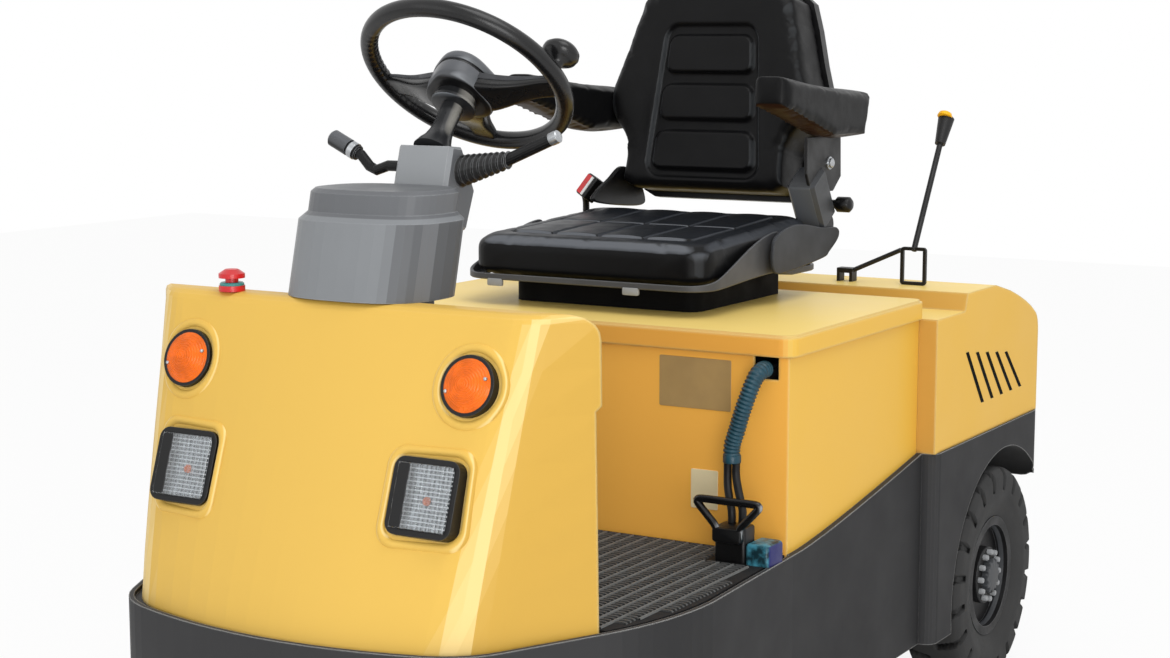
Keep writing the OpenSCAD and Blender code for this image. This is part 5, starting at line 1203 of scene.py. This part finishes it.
class TRACTOR_OT_steering(bpy.types.Operator):
    """Make the dished steering wheel, its column, and the ends of the stalks"""
    bl_idname = "tractor.steering"
    bl_label = "Steering"

    def execute(self, context):
        self.wheel()
        self.column()
        return {"FINISHED"}

    def wheel(self):
        """Rim with finger grips, three arms with painted highlight on top, hub with cap and boss, and a
        spinner knob.
        """
        steering_piece("wheel_rim", wheel_rim(), "wheel_plastic", "black_plastic",
                       stands_for="steering_wheel")
        for k, angle in enumerate(ARM_ANGLES):
            steering_piece("wheel_arm_%d" % k, wheel_arm(angle, 0.0, 0.66, 1.0), "wheel_plastic",
                           "black_plastic", angle=50)
            # painted highlight: the arms' upper parts in dark grey over the black arms
            steering_piece("wheel_arm_cover_%d" % k, wheel_arm(angle, 0.56, 1.0, 1.02), "arm_plastic",
                           "black_plastic", angle=50)
        # painted reflection: the black hub's wall takes the grey cap finish
        steering_piece("wheel_hub", hub_ring(HUB), "cap_plastic", "black_plastic", angle=50)
        steering_piece("wheel_seam", hub_ring(HUB_SEAM), "wheel_plastic", "black_plastic", angle=50)
        steering_piece("wheel_cap", hub_ring(HUB_DOME), "cap_plastic", "grey_plastic", angle=60,
                       stands_for="steering_cap")
        boss = turned(BOSS, WHEEL_CENTRE, WHEEL_N, WHEEL_X, 48)
        steering_piece("wheel_boss", boss, "boss_steel", "black_plastic", angle=40)
        place = on_wheel(RIM_R * np.cos(SPINNER_ANGLE), RIM_R * np.sin(SPINNER_ANGLE), 0.0)
        steering_piece("wheel_spinner", turned(SPINNER, place, WHEEL_N, WHEEL_X, 40), "wheel_plastic",
                       "black_plastic")

    def column(self):
        """The column's cover and neck, the left stalk's grip with its ring, and the right lever's tip."""
        cover = upright_plate(COLUMN, -COLUMN_HALF, COLUMN_HALF, 0.006)
        chassis_piece("column_cover", cover, "column_plastic", "grey_plastic", angle=30,
                      stands_for="steering_column")
        neck = turned(NECK, STEERING_CENTRE, WHEEL_N, WHEEL_X, 40)
        chassis_piece("column_neck", neck, "boss_steel", "black_plastic", angle=40)
        for name, finish, at, length in (("stalk_ring", "bright_steel", 0.005, 0.010),
                                         ("stalk_grip", "cap_plastic", 0.020, 0.036)):
            profile = [(0.012, 0.0), (STALK_R, 0.0), (STALK_R, length), (STALK_R - 0.003, length + 0.003),
                       (0.0001, length + 0.003)]
            sleeve = turned(profile, STALK_END + at * STALK_WAY, STALK_WAY, REAR, 28)
            chassis_piece(name, sleeve, finish, "black_plastic", angle=40)
        tip = turned(LEVER_TIP, LEVER_END, LEVER_WAY, REAR, 24)
        chassis_piece("lever_tip", tip, "bright_steel", "bright_steel", angle=40)


# Wheels

# Half track, place along, radius, tyre width and bead radius of each axle's wheels
AXLES = {"front": (0.320, -0.670, 0.200, 0.104, 0.1003), "rear": (0.442, 0.710, 0.230, 0.126, 0.1153)}
STUD = [(0.0001, 0.012), (0.0045, 0.012), (0.0062, 0.010), (0.0062, 0.0), (0.0062, -0.004)]
STUD_FACE, STUD_RING = 0.042, 0.050
STUDS = 12
HUB_PLATE_R, HUB_TOOTH = 0.034, 0.0028
HUB_BACK = [(0.0001, 0.043), (0.058, 0.043), (0.060, 0.041), (0.060, 0.020), (0.0001, 0.020)]


def tyre_surface(centre, out, radius, width, bead, lugs, depth):
    """Tyre as a function of the angle a round its axle and of s along its section, from one bead over the
    tread to the other: a rounded section, with grooves cut from each shoulder by a smooth step in the
    angle."""
    half = width / 2
    section = np.array([(-0.74, bead + 0.002), (-0.78, bead + 0.012), (-0.9, bead + 0.028),
                        (-0.985, bead + 0.05), (-1.0, radius - 0.046), (-1.0, radius - 0.030),
                        (-0.99, radius - 0.020), (-0.94, radius - 0.011), (-0.86, radius - 0.004),
                        (-0.76, radius - 0.001), (-0.6, radius), (-0.45, radius), (-0.3, radius),
                        (-0.15, radius), (0.0, radius)])
    section = np.vstack([section, section[-2::-1] * [-1, 1]])
    s = np.linspace(0, len(section) - 1, 3 * (len(section) - 1) + 1)
    x = np.interp(s, np.arange(len(section)), section[:, 0])[None, :]
    r = np.interp(s, np.arange(len(section)), section[:, 1])[None, :]
    a = angles(lugs * 24)[:, None]
    side, reach = np.sign(x), np.abs(x)
    phase = lugs * a / (2 * np.pi) + np.where(side > 0, 0.0, 0.5) + 0.25 * (reach - 0.6)
    gap = np.abs((phase % 1.0) - 0.5)
    wide = 0.075 + 0.03 * reach
    groove = (1 - step_up(gap, wide - 0.03, wide + 0.03)) * step_up(reach, 0.12, 0.22)
    groove = groove * step_up(r, radius - 0.050, radius - 0.034)
    ring = 0.0016 * line(r, radius - 0.056, 0.003) + 0.0016 * line(r, bead + 0.016, 0.0025)
    across_tyre = x * half * (1 - 0.10 * groove * step_up(reach, 0.85, 1.0)) + side * ring * (reach > 0.8)
    r = r - depth * groove
    points = np.stack([centre[0] + out * across_tyre + 0 * a, centre[1] + r * np.cos(a),
                       centre[2] + r * np.sin(a)], -1)
    return grid(points, round_u=True, round_v=True)


class TRACTOR_OT_wheels(bpy.types.Operator):
    """Make the lugged tyres, and the studs, hub plate and lip of each rim"""
    bl_idname = "tractor.wheels"
    bl_label = "Tyres and hubs"

    def execute(self, context):
        size = context.scene.tractor_sizes
        for axle, (x, y, radius, width, bead) in AXLES.items():
            for side, out in SIDES:
                name, centre = axle + "_" + side, np.array([out * x, y, radius])
                wheel_piece = partial(piece, name + "_wheel")
                tread = tyre_surface(centre, out, radius, width, bead, size.lugs, size.lug_depth)
                wheel_piece(name + "_tread", tread, "tyre", "tyre", angle=40, stands_for=name + "_tyre")
                self.hub(wheel_piece, name, centre, out)
                lip = np.array([(bead + 0.003, 0.30), (bead + 0.002, 0.385), (bead - 0.003, 0.385),
                                (bead - 0.008, 0.33), (bead - 0.011, 0.25), (bead - 0.008, 0.22)])
                lip[:, 1] *= width
                wheel_piece(name + "_lip", turned(lip, centre, (out, 0, 0), ABOVE, 72, caps=False),
                            "hub_steel", "wheel_steel", angle=50)
        return {"FINISHED"}

    def hub(self, wheel_piece, name, centre, out):
        """A ring of studs round a notched hub plate, radius HUB_PLATE_R + HUB_TOOTH tanh(4 cos 12 a), on a
        disc."""
        axle = np.array([out, 0.0, 0.0])
        stud, faces = turned(STUD, (0, 0, 0), axle, ABOVE, 12)
        spots = centre + STUD_FACE * axle + STUD_RING * np.c_[np.zeros(STUDS), circle(STUDS)]
        wheel_piece(name + "_studs", repeated(spots[:, None] + stud, faces), "grey_tab", "bright_steel",
                    angle=40)
        a = angles(144)
        r = (HUB_PLATE_R + HUB_TOOTH * np.tanh(4 * np.cos(STUDS * a)))[:, None] * np.c_[0 * a, circle(144)]
        rows = [centre + d * axle + k * r for d,
                k in ((0.040, 1.0), (0.055, 1.0), (0.057, 0.95), (0.058, 0.5))]
        wheel_piece(name + "_hub", grid(np.array(rows), round_v=True, caps=True), "hub_steel", "wheel_steel",
                    angle=40)
        wheel_piece(name + "_hub_back", turned(HUB_BACK, centre, axle, ABOVE, 48), "wheel_steel",
                    "wheel_steel", angle=40)


# Lamps

HEAD_X, HEAD_Z = 0.228, 0.684
SPOT_X, SPOT_Z = 0.268, 0.845
BOWL_HALF, GLASS_HALF = 0.0478, 0.0485
GLASS_T = 0.0012
SPOT_R, SPOT_RIBS = 0.0407, 10
BULB = [(0.0001, 0.010), (0.004, 0.0092), (0.0065, 0.006), (0.0068, 0.003)]
SCREW = [(0.0001, 0.0165), (0.0022, 0.016), (0.003, 0.0145), (0.003, 0.009)]
SCREW_RING, SCREW_ANGLES = 0.0345, np.radians([200.0, 20.0])
HEAD_BEZEL, SPOT_BEZEL_R = (0.132, 0.134, 0.026), 0.0555


def panel_y(x, z):
    """Place of the cowl's front along the vehicle at a point across and up: a bowed, leaning panel."""
    t = (z - 0.463) / 0.488
    bow = 0.062 + (0.005 - 0.062) * t
    return -0.998 + 0.128 * t ** 1.12 - bow + bow * (x / (0.315 + 0.030 * t)) ** 2


LAMP_TILT = np.arctan((panel_y(HEAD_X, SPOT_Z) - panel_y(HEAD_X, HEAD_Z)) / (SPOT_Z - HEAD_Z))
LAMP_X = np.array([1.0, 0.0, 0.0])
LAMP_Y = np.array([0.0, np.sin(LAMP_TILT), np.cos(LAMP_TILT)])
LAMP_Z = np.array([0.0, -np.cos(LAMP_TILT), np.sin(LAMP_TILT)])


def on_lamp(place, half, u, v, height):
    """A surface on a lamp's own axes: u and v run from -1 to 1 over its width, and height stands out of
    it."""
    return grid(place + half * u[..., None] * LAMP_X + half * v[..., None] * LAMP_Y + height[...,
                                                                                             None] * LAMP_Z)


def on_cowl(tree, x, z):
    """Points of the cowl's outside and its normals there, met from the front."""
    hits = [tree.ray_cast(Vector((a, -1.4, b)), Vector(REAR)) for a, b in zip(x, z)]
    return np.array([h[0] for h in hits]), np.array([h[1] for h in hits])


def bezel(tree, centre, outline, width, height):
    """A soft ridge on the cowl round a lamp: a round profile of the given height carried round the
    outline."""
    x, z = centre[0] + outline[:, 0], centre[2] + outline[:, 1]
    p, n = on_cowl(tree, x, z)
    away = np.stack([outline[:, 0], 0 * x, outline[:, 1]], -1)
    away /= np.linalg.norm(away, axis=1, keepdims=True)
    away -= n * np.sum(away * n, axis=1, keepdims=True)
    u = np.linspace(-1, 1, 11)
    rise = height * (1 - u ** 2) - 0.0012 * (np.abs(u) > 0.95)
    ring = p[:, None] + (u * width)[None, :, None] * away[:, None] + rise[None, :, None] * n[:, None]
    return grid(ring, round_u=True)


class TRACTOR_OT_lamps(bpy.types.Operator):
    """Make the headlamps' reflectors and lenses, the indicators' lenses and the bezels round them"""
    bl_idname = "tractor.lamps"
    bl_label = "Lamps"

    def execute(self, context):
        points, faces = solid("cowl")
        tree = BVHTree.FromPolygons(points.tolist(), faces)
        for name, side in SIDES:
            self.headlamp(tree, name, np.array([side * HEAD_X, panel_y(HEAD_X, HEAD_Z), HEAD_Z]))
            self.indicator(tree, name, np.array([side * SPOT_X, panel_y(SPOT_X, SPOT_Z), SPOT_Z]))
        return {"FINISHED"}

    def headlamp(self, tree, name, place):
        """A bowl that deepens with the square of the radius, a fluted lens over it, a dark strip and a
        bulb."""
        u, v = np.meshgrid(np.linspace(-1, 1, 25), np.linspace(-1, 1, 25), indexing="ij")
        bowl = on_lamp(place, BOWL_HALF, u, v, 0.0028 + 0.0075 * (u ** 2 + v ** 2) / 2)
        chassis_piece("headlamp_bowl_" + name, bowl, "reflector", "bright_steel", outward=False)
        u, v = np.meshgrid(np.linspace(-1, 1, 97), np.linspace(-1, 1, 41), indexing="ij")
        flute = np.abs(np.sin(u * 9 * np.pi / 2)) * (0.6 + 0.4 * np.abs(np.sin(v * 3.5 * np.pi / 2)))
        glass = on_lamp(place, GLASS_HALF, u, v,
                        0.0125 + 0.0022 * flute + 0.0016 * (1 - u ** 2) * (1 - v ** 2))
        lens = chassis_piece("headlamp_glass_" + name, glass, "clear_lens", "clear_lens", outward=False,
                             stands_for="headlamp_lenses")
        wall = lens.modifiers.new("wall", "SOLIDIFY")
        wall.thickness, wall.offset = GLASS_T, -1.0
        strip = slab(0.020, 0.095, 0.0015, 0.004, 0.0006, place - 0.0375 * LAMP_X + 0.0155 * LAMP_Z, LAMP_X,
                     LAMP_Y)
        chassis_piece("headlamp_shade_" + name, strip, "black_plastic", "black_plastic", smooth=False)
        bulb = turned(BULB, place + 0.004 * LAMP_X - 0.004 * LAMP_Y, LAMP_Z, LAMP_X, 20)
        chassis_piece("headlamp_bulb_" + name, bulb, "amber_lens", "amber_lens")
        ridge = bezel(tree, place, rounded_outline(*HEAD_BEZEL, 8), 0.009, 0.005)
        chassis_piece("headlamp_bezel_" + name, ridge, "cowl_paint", "yellow_paint")

    def indicator(self, tree, name, place):
        """A domed lens with fine rings, from a cosine along its radius, and two screws."""
        r = np.linspace(0.0, 1.0, 60)
        dome = 0.009 + 0.014 * (1 - r ** 2) + 0.0006 * np.cos(2 * np.pi * r * SPOT_RIBS) * (r < 0.94)
        profile = np.vstack([np.stack([np.maximum(r, 0.002) * SPOT_R, dome], -1), [[SPOT_R, 0.0005]]])
        chassis_piece("indicator_glass_" + name, turned(profile, place, LAMP_Z, LAMP_X, 72), "amber_lens",
                      "amber_lens", stands_for="indicator_lenses")
        for k, a in enumerate(SCREW_ANGLES):
            at = place + SCREW_RING * (np.cos(a) * LAMP_X + np.sin(a) * LAMP_Y)
            chassis_piece("indicator_screw_%s_%d" % (name, k), turned(SCREW, at, LAMP_Z, LAMP_X, 12),
                          "bright_steel", "bright_steel")
        ridge = bezel(tree, place, SPOT_BEZEL_R * circle(64), 0.008, 0.004)
        chassis_piece("indicator_bezel_" + name, ridge, "cowl_paint", "yellow_paint")


# Floor mat

MAT_TOP = 0.4700
MAT_COLUMN, MAT_COLUMNS = 0.0275, 17
BAR_PITCH, BAR_HALF_W, BAR_ARCH, BAR_RISE = 0.0118, 0.0030, 0.0022, 0.0024
STRIP_PITCH, STRIP_HALF_W, STRIP_RISE = 0.012, 0.0022, 0.0030
MAT_MARGIN = 0.015


class TRACTOR_OT_floor(bpy.types.Operator):
    """Cover the floor mat with columns of small arched raised bars, and a raised line between columns"""
    bl_idname = "tractor.floor"
    bl_label = "Mat bars"

    def execute(self, context):
        points = solid("floor_mat")[0]
        edge = points[(points[:, 2] > MAT_TOP - 0.001) & (points[:, 0] > 0)]
        edge = edge[np.argsort(edge[:, 1])]
        self.bars(edge, context.scene.tractor_sizes.bar_length / 2)
        self.lines(edge)
        return {"FINISHED"}

    def free(self, edge, x, y):
        """Where the mat is clear: inside its edge and away from the column, the connector and the pedals."""
        clear = np.abs(x) < np.interp(y, edge[:, 1], edge[:, 0]) - MAT_MARGIN
        clear &= ~((np.abs(x) < 0.09) & (y < -0.705))
        clear &= ~((np.abs(x - 0.418) < 0.065) & (np.abs(y + 0.295) < 0.04))
        return clear & ~((np.abs(x + 0.18) < 0.075) & (np.abs(y + 0.744) < 0.03))

    def bars(self, edge, half):
        """Bars that bend in a parabola along their length, each a strip of four rows of points."""
        x, y = np.meshgrid((np.arange(-MAT_COLUMNS, MAT_COLUMNS) + 0.5) * MAT_COLUMN,
                           np.arange(-0.772, -0.232, BAR_PITCH), indexing="ij")
        places = np.stack([x, y, 0 * x], -1).reshape(-1, 3)
        places = places[self.free(edge, places[:, 0], places[:, 1])]
        t = np.linspace(-1, 1, 5)
        rows = [np.c_[half * t * k, BAR_ARCH * (1 - t ** 2) - BAR_HALF_W * k * v, np.full(5, z)] for v, k,
                z in
                ((1, 1, MAT_TOP), (1, 0.8, MAT_TOP + BAR_RISE), (-1, 0.8, MAT_TOP + BAR_RISE),
                 (-1, 1, MAT_TOP))]
        bar, faces = grid(np.array(rows))
        faces += [[0, 5, 10, 15], [4, 19, 14, 9]]
        chassis_piece("mat_bars", repeated(places[:, None] + bar, faces), "mat_bar", "mat_rubber",
                      smooth=False, outward=False)

    def lines(self, edge):
        """Lines between the columns, in short lengths end to end wherever the mat is clear."""
        x, y = np.meshgrid(np.arange(-MAT_COLUMNS, MAT_COLUMNS + 1) * MAT_COLUMN,
                           np.arange(-0.778, -0.226, STRIP_PITCH)[:-1] + STRIP_PITCH / 2, indexing="ij")
        places = np.stack([x, y, 0 * x], -1).reshape(-1, 3)
        places = places[self.free(edge, places[:, 0], places[:, 1])]
        w, h = STRIP_HALF_W, STRIP_PITCH / 2
        foot = np.array([(-w, -h), (w, -h), (w, h), (-w, h)])
        length = np.vstack([np.c_[foot, [MAT_TOP] * 4],
                            np.c_[foot * [0.7, 1.0], [MAT_TOP + STRIP_RISE] * 4]])
        faces = [[4, 5, 6, 7], [1, 2, 6, 5], [3, 0, 4, 7]]
        chassis_piece("mat_lines", repeated(places[:, None] + length, faces), "mat_line", "mat_rubber",
                      smooth=False, outward=False)


# Plates and trims

# Finish, and the left, right, lower and upper edges of each plate
PLATES = {"rating_plate": ("taupe_plate", 0.207, 0.348, 0.709, 0.799),
          "service_plate": ("cream_plate", 0.271, 0.324, 0.532, 0.602)}
PLUG_W, PLUG_L, PLUG_H, PLUG_PLACE = 0.045, 0.060, 0.037, (0.449, -0.290, 0.4695)
LOUVRES, LOUVRE_PITCH, LOUVRE_DROP = 5, 0.057, 0.007
LOUVRE_INSET, LOUVRE_DEPTH, LOUVRE_RISE = 0.156, 0.119, 0.065
LOUVRE_W, LOUVRE_LEAN = 0.016, 0.095
COLLAR = [(0.012, 0.004), (0.0185, 0.004), (0.0195, 0.006), (0.0195, 0.012), (0.0175, 0.014), (0.012, 0.014)]
RELEASE_CAP = [(0.0001, 0.007), (0.008, 0.0062), (0.0135, 0.003), (0.0155, -0.002), (0.0155, -0.005)]


class TRACTOR_OT_plates(bpy.types.Operator):
    """Fix two blank plates to the front wall of the battery box"""
    bl_idname = "tractor.plates"
    bl_label = "Blank plates"

    def execute(self, context):
        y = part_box("battery_box")[0].y
        for name, (finish, x0, x1, z0, z1) in PLATES.items():
            place = ((x0 + x1) / 2, y, (z0 + z1) / 2)
            plate = slab(x1 - x0, z1 - z0, 0.0012, 0.003, 0.0006, place, LEFT, ABOVE)
            chassis_piece(name, plate, finish, "yellow_paint", smooth=False)
        return {"FINISHED"}


class TRACTOR_OT_trims(bpy.types.Operator):
    """Make the plug's shell, the louvres' painted shade, the release lever's cap and the collar of the stop
    button
    """
    bl_idname = "tractor.trims"
    bl_label = "Small trims"

    def execute(self, context):
        plug = slab(PLUG_W, PLUG_L, PLUG_H, 0.008, 0.006, PLUG_PLACE, LEFT, REAR)
        chassis_piece("plug_shell", plug, "plug_teal", "conduit", angle=30)
        self.louvres()
        self.release_cap()
        lo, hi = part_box("stop_button")
        collar = turned(COLLAR, ((lo.x + hi.x) / 2, (lo.y + hi.y) / 2, lo.z), ABOVE, LEFT, 36)
        chassis_piece("stop_collar", collar, "teal_collar", "red_plastic", angle=40)
        return {"FINISHED"}

    def louvres(self):
        """The shade inside the slanted slots in both sides of the rear body, painted as thin dark leaning
        strips in their mouths."""
        lo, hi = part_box("rear_body")
        foot = lo.z + LOUVRE_RISE
        strips = []
        for side, i in [(side, i) for side in (-1, 1) for i in range(LOUVRES)]:
            y, z = lo.y + LOUVRE_INSET + LOUVRE_PITCH * i, hi.z - LOUVRE_DEPTH - LOUVRE_DROP * i
            edge = [(y, z), (y + LOUVRE_W, z), (y + LOUVRE_W + LOUVRE_LEAN, foot), (y + LOUVRE_LEAN, foot)]
            strips.append([[(side * (hi.x + out), *p) for p in edge] for out in (-0.001, 0.0004)])
        strips = np.array(strips)
        faces = grid(strips[0], round_v=True, caps=True)[1]
        chassis_piece("louvre_shades", repeated(strips.reshape(len(strips), -1, 3), faces), "slot_shade",
                      "yellow_paint", smooth=False)

    def release_cap(self):
        """A cap on the release lever's end, turned about the long axis of the lever's grip."""
        grip = solid("release_lever")[0]
        top = grip[grip[:, 2] > grip[:, 2].max() - 0.005].mean(0)
        grip = grip[grip[:, 2] > top[2] - 0.07]
        axis = np.linalg.svd(grip - grip.mean(0))[2][0]
        axis *= np.sign(axis[2])
        square = np.cross(axis, REAR)
        cap = turned(RELEASE_CAP, top - 0.001 * axis, axis, square / np.linalg.norm(square), 28)
        chassis_piece("release_cap", cap, "grip_cap", "yellow_paint", angle=50)


# Stage

FLOOR_HALF, FLOOR_GLOW = 9.0, 0.90
SKY_LIGHT, SKY_SEEN = 0.76, 1.0
# Place, aim, size and power of each lamp
STUDIO_LAMPS = {"key_light": ((-1.6, -5.2, 2.6), (0.0, -0.6, 0.7), 3.0, 14.0),
                "fill_light": ((2.9, -3.9, 1.3), (0.1, -0.3, 0.75), 2.0, 62.0),
                "top_light": ((1.9, -1.0, 5.0), (0.1, 0.1, 0.7), 3.0, 75.0)}


class TRACTOR_OT_stage(bpy.types.Operator):
    """Lay a pale floor and set soft studio light"""
    bl_idname = "tractor.stage"
    bl_label = "Stage"

    def execute(self, context):
        self.floor(context.scene)
        self.sky(context.scene)
        for name, (place, aim, size, watts) in STUDIO_LAMPS.items():
            data = bpy.data.lights.new(name, "AREA")
            data.energy, data.size = watts, size
            lamp = bpy.data.objects.new(name, data)
            lamp.location = place
            lamp.rotation_euler = (Vector(aim) - Vector(place)).to_track_quat("-Z", "Y").to_euler()
            context.scene.collection.objects.link(lamp)
        context.scene.view_settings.view_transform = "Standard"
        return {"FINISHED"}

    def floor(self, scene):
        """A flat floor that keeps the shadow and glows white to the camera for most of its tone."""
        steps = np.linspace(-FLOOR_HALF, FLOOR_HALF, 7)
        x, y = np.meshgrid(steps, steps, indexing="ij")
        points, faces = grid(np.stack([x, y, 0 * x], -1))
        mesh = bpy.data.meshes.new("studio_floor")
        mesh.from_pydata(points.tolist(), [], faces)
        floor = bpy.data.objects.new("studio_floor", mesh)
        scene.collection.objects.link(floor)
        f = Finish("studio_floor", (0.88, 0.88, 0.88), 0.9, Specular_IOR_Level=0.1)
        glow = f.node("ShaderNodeEmission")
        blend = f.node("ShaderNodeMixShader")
        seen = f.node("ShaderNodeLightPath").outputs["Is Camera Ray"]
        f.link(f.ranged(seen, 0.0, 1.0, 0.0, FLOOR_GLOW), blend, 0)
        f.link(f.shader.outputs["BSDF"], blend, 1)
        f.link(glow.outputs["Emission"], blend, 2)
        f.link(blend.outputs["Shader"], f.tree.nodes["Material Output"], "Surface")
        floor.data.materials.append(f.material)

    def sky(self, scene):
        """A white world, seen at full strength by the camera, in gloss and through glass, and dimmer as
        light."""
        world = bpy.data.worlds.new("studio")
        world.use_nodes = True
        tree = world.node_tree
        sky = tree.nodes["Background"]
        path = tree.nodes.new("ShaderNodeLightPath")
        seen = path.outputs["Is Camera Ray"]
        for ray in ("Is Transmission Ray", "Is Glossy Ray"):
            either = tree.nodes.new("ShaderNodeMath")
            either.operation = "MAXIMUM"
            tree.links.new(seen, either.inputs[0])
            tree.links.new(path.outputs[ray], either.inputs[1])
            seen = either.outputs[0]
        level = tree.nodes.new("ShaderNodeMapRange")
        level.inputs["To Min"].default_value = SKY_LIGHT
        level.inputs["To Max"].default_value = SKY_SEEN
        tree.links.new(seen, level.inputs["Value"])
        tree.links.new(level.outputs["Result"], sky.inputs["Strength"])
        sky.inputs["Color"].default_value = (1.0, 1.0, 1.0, 1.0)
        scene.world = world


STEPS = (TRACTOR_OT_camera, TRACTOR_OT_finishes, TRACTOR_OT_lead, TRACTOR_OT_seat, TRACTOR_OT_fittings,
         TRACTOR_OT_steering, TRACTOR_OT_wheels, TRACTOR_OT_lamps, TRACTOR_OT_floor, TRACTOR_OT_plates,
         TRACTOR_OT_trims, TRACTOR_OT_stage)


class TRACTOR_PT_dressing(bpy.types.Panel):
    """Steps and settings of the tractor's dressing"""
    bl_idname = "TRACTOR_PT_dressing"
    bl_label = "Tow tractor"
    bl_space_type = "VIEW_3D"
    bl_region_type = "UI"
    bl_category = "Tow tractor"

    def draw(self, context):
        layout = self.layout
        for group in (context.scene.tractor_view, context.scene.tractor_colours,
                      context.scene.tractor_sizes):
            box = layout.box()
            for key in group.__annotations__:
                box.prop(group, key)
        for step in STEPS:
            layout.operator(step.bl_idname)


GROUPS = (TractorColours, TractorSizes, TractorView)


def register():
    """Register the groups, the steps and the panel, and give the scene its settings."""
    for cls in GROUPS + STEPS + (TRACTOR_PT_dressing,):
        bpy.utils.register_class(cls)
    bpy.types.Scene.tractor_colours = PointerProperty(type=TractorColours)
    bpy.types.Scene.tractor_sizes = PointerProperty(type=TractorSizes)
    bpy.types.Scene.tractor_view = PointerProperty(type=TractorView)


def unregister():
    """Take back what register gave."""
    del bpy.types.Scene.tractor_view, bpy.types.Scene.tractor_sizes, bpy.types.Scene.tractor_colours
    for cls in reversed(GROUPS + STEPS + (TRACTOR_PT_dressing,)):
        bpy.utils.unregister_class(cls)


def main():
    """Dress the tractor step by step."""
    register()
    for step in STEPS:
        group, name = step.bl_idname.split(".")
        getattr(getattr(bpy.ops, group), name)()


if __name__ == "__main__":
    main()
